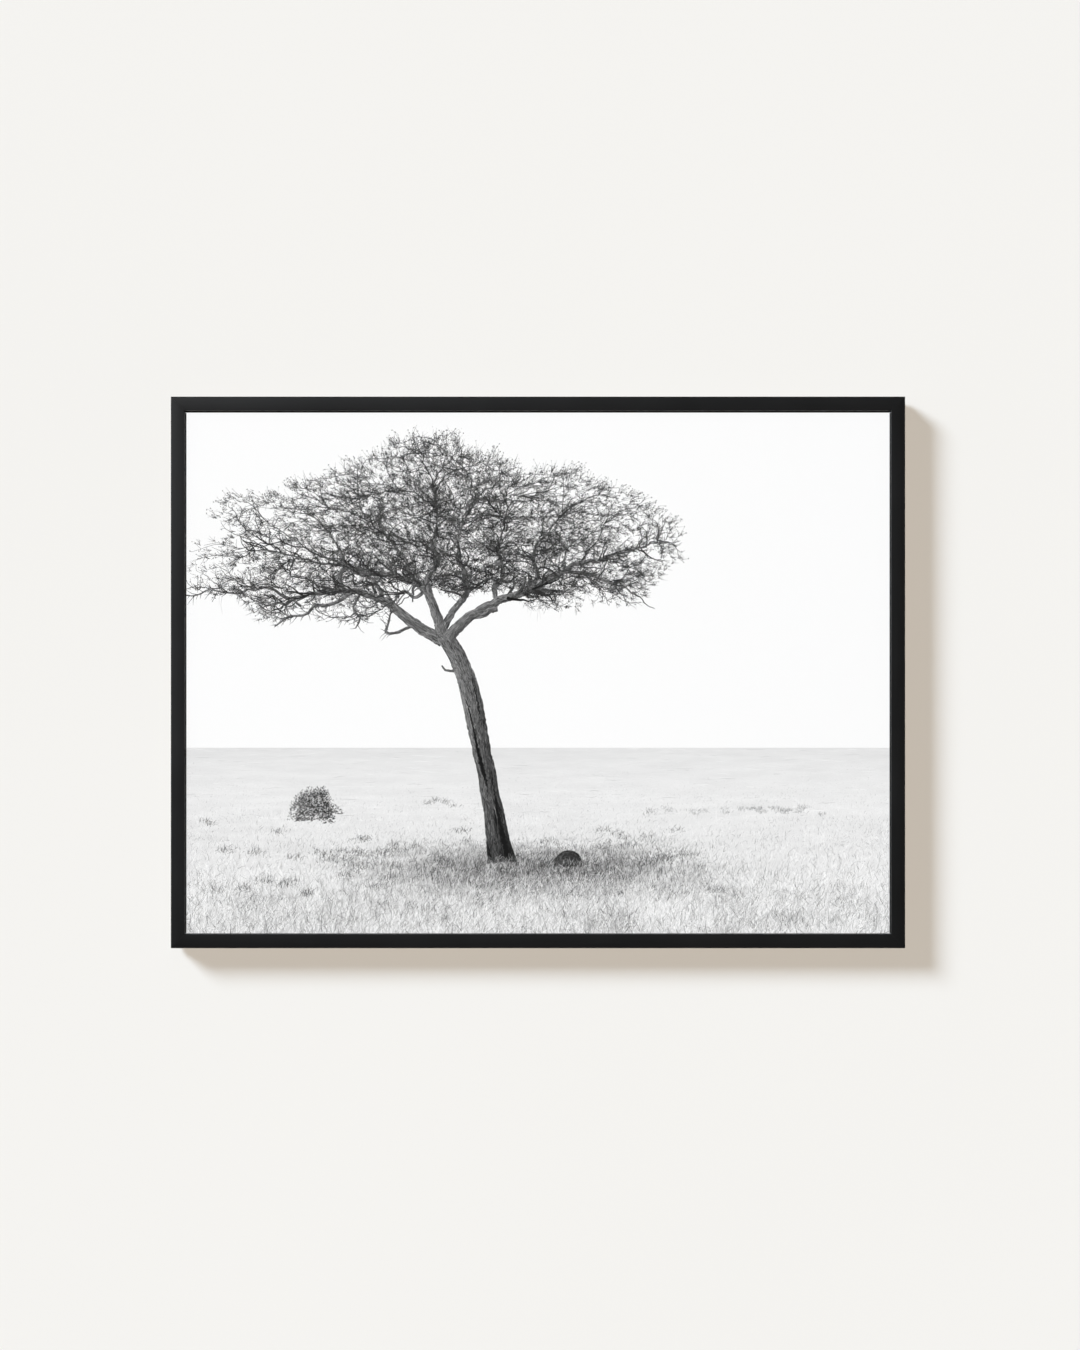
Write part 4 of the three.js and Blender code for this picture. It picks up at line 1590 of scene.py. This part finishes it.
def join_strokes(name, groups):
    """Builds the one mesh of a grey from all strips laid in it."""
    points, faces, first = [], [], 0
    for sides, depths in groups:
        count, knots = sides.shape[:2]
        flat = np.clip(sides, SHEET_LOW, SHEET_HIGH).reshape(-1, 2)
        points.append(with_depth(flat, np.repeat(depths, 2 * knots)))
        index = first + np.arange(count * knots * 2).reshape(count, knots, 2)
        right, left = index[..., 0], index[..., 1]
        quads = np.stack([right[:, :-1], right[:, 1:], left[:, 1:], left[:, :-1]], 2)
        faces.append(quads.reshape(-1, 4))
        first += count * knots * 2
    points, faces = np.vstack(points), np.vstack(faces)
    a, b = points[faces[:, 2]] - points[faces[:, 0]], points[faces[:, 3]] - points[faces[:, 1]]
    area = np.linalg.norm(np.cross(a, b), axis=1) / 2
    return flat_mesh(name, points, faces[area > SMALLEST_AREA], SHEET_LOW, SHEET_HIGH)


for name, groups in strokes.items():
    drawn = join_strokes("print_" + name, groups)
    light = grey_light(GREYS[name])
    ink = flecked("ink_" + name, (2200, 3, 0.6), (0.3, 0.9 * light), (0.7, 1.08 * light),
                  gloss=(0.7, 0.9), IOR=1.35)
    finish_piece(drawn, ink, "print_paper")
    print("strokes in", name, "faces:", len(drawn.data.polygons))

# %% [markdown]
# ## Wall, floor and light
#
# The wall is painted off-white, and shows only in front: a ray that meets its back passes through,
# so that the hidden side of the picture can be looked at too. The key light is a lamp high on the
# left, about 45 degrees off the wall, which throws a short soft-edged shadow to the right and down.
# A second, warm light comes from straight ahead, fills that shadow evenly and leaves no glare.

# %% Wall and floor
ROOM = 8.0  # the wall's and the floor's width
FLOOR_Z = -1.35  # the picture hangs at eye level


def wall_paint():
    material, tree, shader = new_material("wall_paint", Roughness=0.9)
    cloud = noise(tree, object_place(tree), 1.7, 2, 0.5)
    colour = ramp(tree, cloud, (0.3, (0.795, 0.792, 0.762)), (0.7, (0.805, 0.802, 0.773)))
    tree.links.new(colour, shader.inputs["Base Color"])
    bump(tree, shader, noise(tree, object_place(tree), 260, 4, 0.6), 0.05, 0.0005)
    side = add_node(tree, "NewGeometry")
    path = add_node(tree, "LightPath")
    either = maths(tree, "MAXIMUM", side.outputs["Backfacing"], path.outputs["Is Shadow Ray"])
    show_mixed(tree, either, shader, add_node(tree, "BsdfTransparent"))
    return material


wall_y = cad_high[1] + 0.1 * MM
wall = plane(ROOM, (0, wall_y, 0.8))
wall.name = "wall"
wall.data.materials.append(wall_paint())
floor = plane(ROOM, (0, wall_y - ROOM / 2, FLOOR_Z), upright=False)
floor.name = "floor"
floor.data.materials.append(flecked("pale_floor", (60, 5, 0.6), (0.3, (0.56, 0.53, 0.49)),
                                    (0.7, (0.6, 0.57, 0.53)), Roughness=0.8))
floor.visible_diffuse = False
floor.visible_glossy = False

# %% [markdown]
# A sun has no place, only a heading, and its strength is given for a surface that it meets squarely.
# The key light meets the wall at a slant, so it is made stronger by as much as the slant costs.

# %% Lights
SHADOW_RIGHT = 33.8 * MM  # while the light crosses the frame's depth
SHADOW_DOWN = 25.9 * MM
DEPTH = cad_high[1] - cad_low[1]
KEY_WAY = (SHADOW_RIGHT, DEPTH, -SHADOW_DOWN)
SQUARE = math.pi  # the strength of a sun that brings 1 to a wall square to it
KEY_STRENGTH = 0.575 * SQUARE / Vector(KEY_WAY).normalized().y
KEY = (KEY_WAY, KEY_STRENGTH, (0.765, 0.87, 1.0), 18)  # way, strength, colour, width in degrees


def lamp(name, kind, energy, heading, place=(0, 0, 0)):
    """A lamp at a place that shines along a heading."""
    data = bpy.data.lights.new(name, kind)
    data.energy = energy
    obj = bpy.data.objects.new(name, data)
    scene.collection.objects.link(obj)
    obj.location = place
    obj.rotation_euler = Vector(heading).to_track_quat("-Z", "Y").to_euler()
    return obj


def sun(name, heading, strength, colour, degrees, glossy=True):
    """A sun whose disc is that many degrees wide, which softens its shadows."""
    obj = lamp(name, "SUN", strength, heading)
    obj.data.color = colour
    obj.data.angle = math.radians(degrees)
    obj.visible_glossy = glossy
    return obj


key = sun("key_light", *KEY)
sun("front_fill", (0, 1, 0), 0.662 * SQUARE, (1.0, 0.894, 0.792), 8, glossy=False)
sun("back_light", (0.45, -1, -0.6), 2.4, (1.0, 0.99, 0.97), 12)

# %% [markdown]
# The frame is thin and stands close over the print, so the key light would draw a shadow on the paper
# along its upper and left inner edges. A studio avoids that with a large diffuser. Here the key light
# is doubled: one lamp serves everything but the print, and its twin serves the print alone and is
# stopped by nothing but the wall.

# %% The key light's twin


def group_of(name, members):
    group = bpy.data.collections.new(name)
    for member in members:
        group.objects.link(member)
    return group


pieces = [obj for obj in scene.objects if obj.type == "MESH"]
printed = [obj for obj in pieces if obj.name.startswith("print_")]
others = [obj for obj in pieces if not obj.name.startswith("print_")]
key.light_linking.receiver_collection = group_of("lit_by_key", others)
twin = sun("key_for_print", *KEY, glossy=False)
twin.light_linking.receiver_collection = group_of("lit_by_twin", printed)
twin.light_linking.blocker_collection = group_of("stops_twin", [wall])
print("pieces lit by the key light:", len(others), "and by its twin:", len(printed))

# %% [markdown]
# A soft box near the upper left adds the satin sheen. It is seen only in reflections, and fades along
# the frame from the upper left corner to the lower right.

# %% Sheen


def soft_box(name, size, energy, place, target):
    """A wide lamp at a place, turned towards a target."""
    obj = lamp(name, "AREA", energy, Vector(target) - Vector(place), place)
    obj.data.size = size
    return obj


sheen = soft_box("soft_box", 1.1, 5.2, (-0.85, -1.4, 0.75), (-0.1, 0, 0.05))
sheen.data.shape = "DISK"
sheen.visible_diffuse = False
rails = [obj for obj in pieces if obj.name.startswith("moulding_")]
sheen.light_linking.receiver_collection = group_of("lit_by_soft_box", rails)
print("rails that mirror the soft box:", len(rails))

# %% [markdown]
# Two lamps behind the wall show the hidden side: a sun, and a second soft box for the steel to mirror.
# The room around is nearly dark for the lamps' sake, but pale where the camera looks straight at it.

# %% Rear lamp and room
soft_box("rear_soft_box", 2.2, 55, (-1.3, 2.0, 1.1), (0, 0, 0))

world = bpy.data.worlds.new("World")
scene.world = world
world.use_nodes = True
room = world.node_tree
backdrop = room.nodes["Background"]
backdrop.inputs["Color"].default_value = (0.92, 0.92, 0.9, 1)
path = add_node(room, "LightPath")
room.links.new(spread_out(room, path.outputs["Is Camera Ray"], 0.05, 0.78), backdrop.inputs["Strength"])
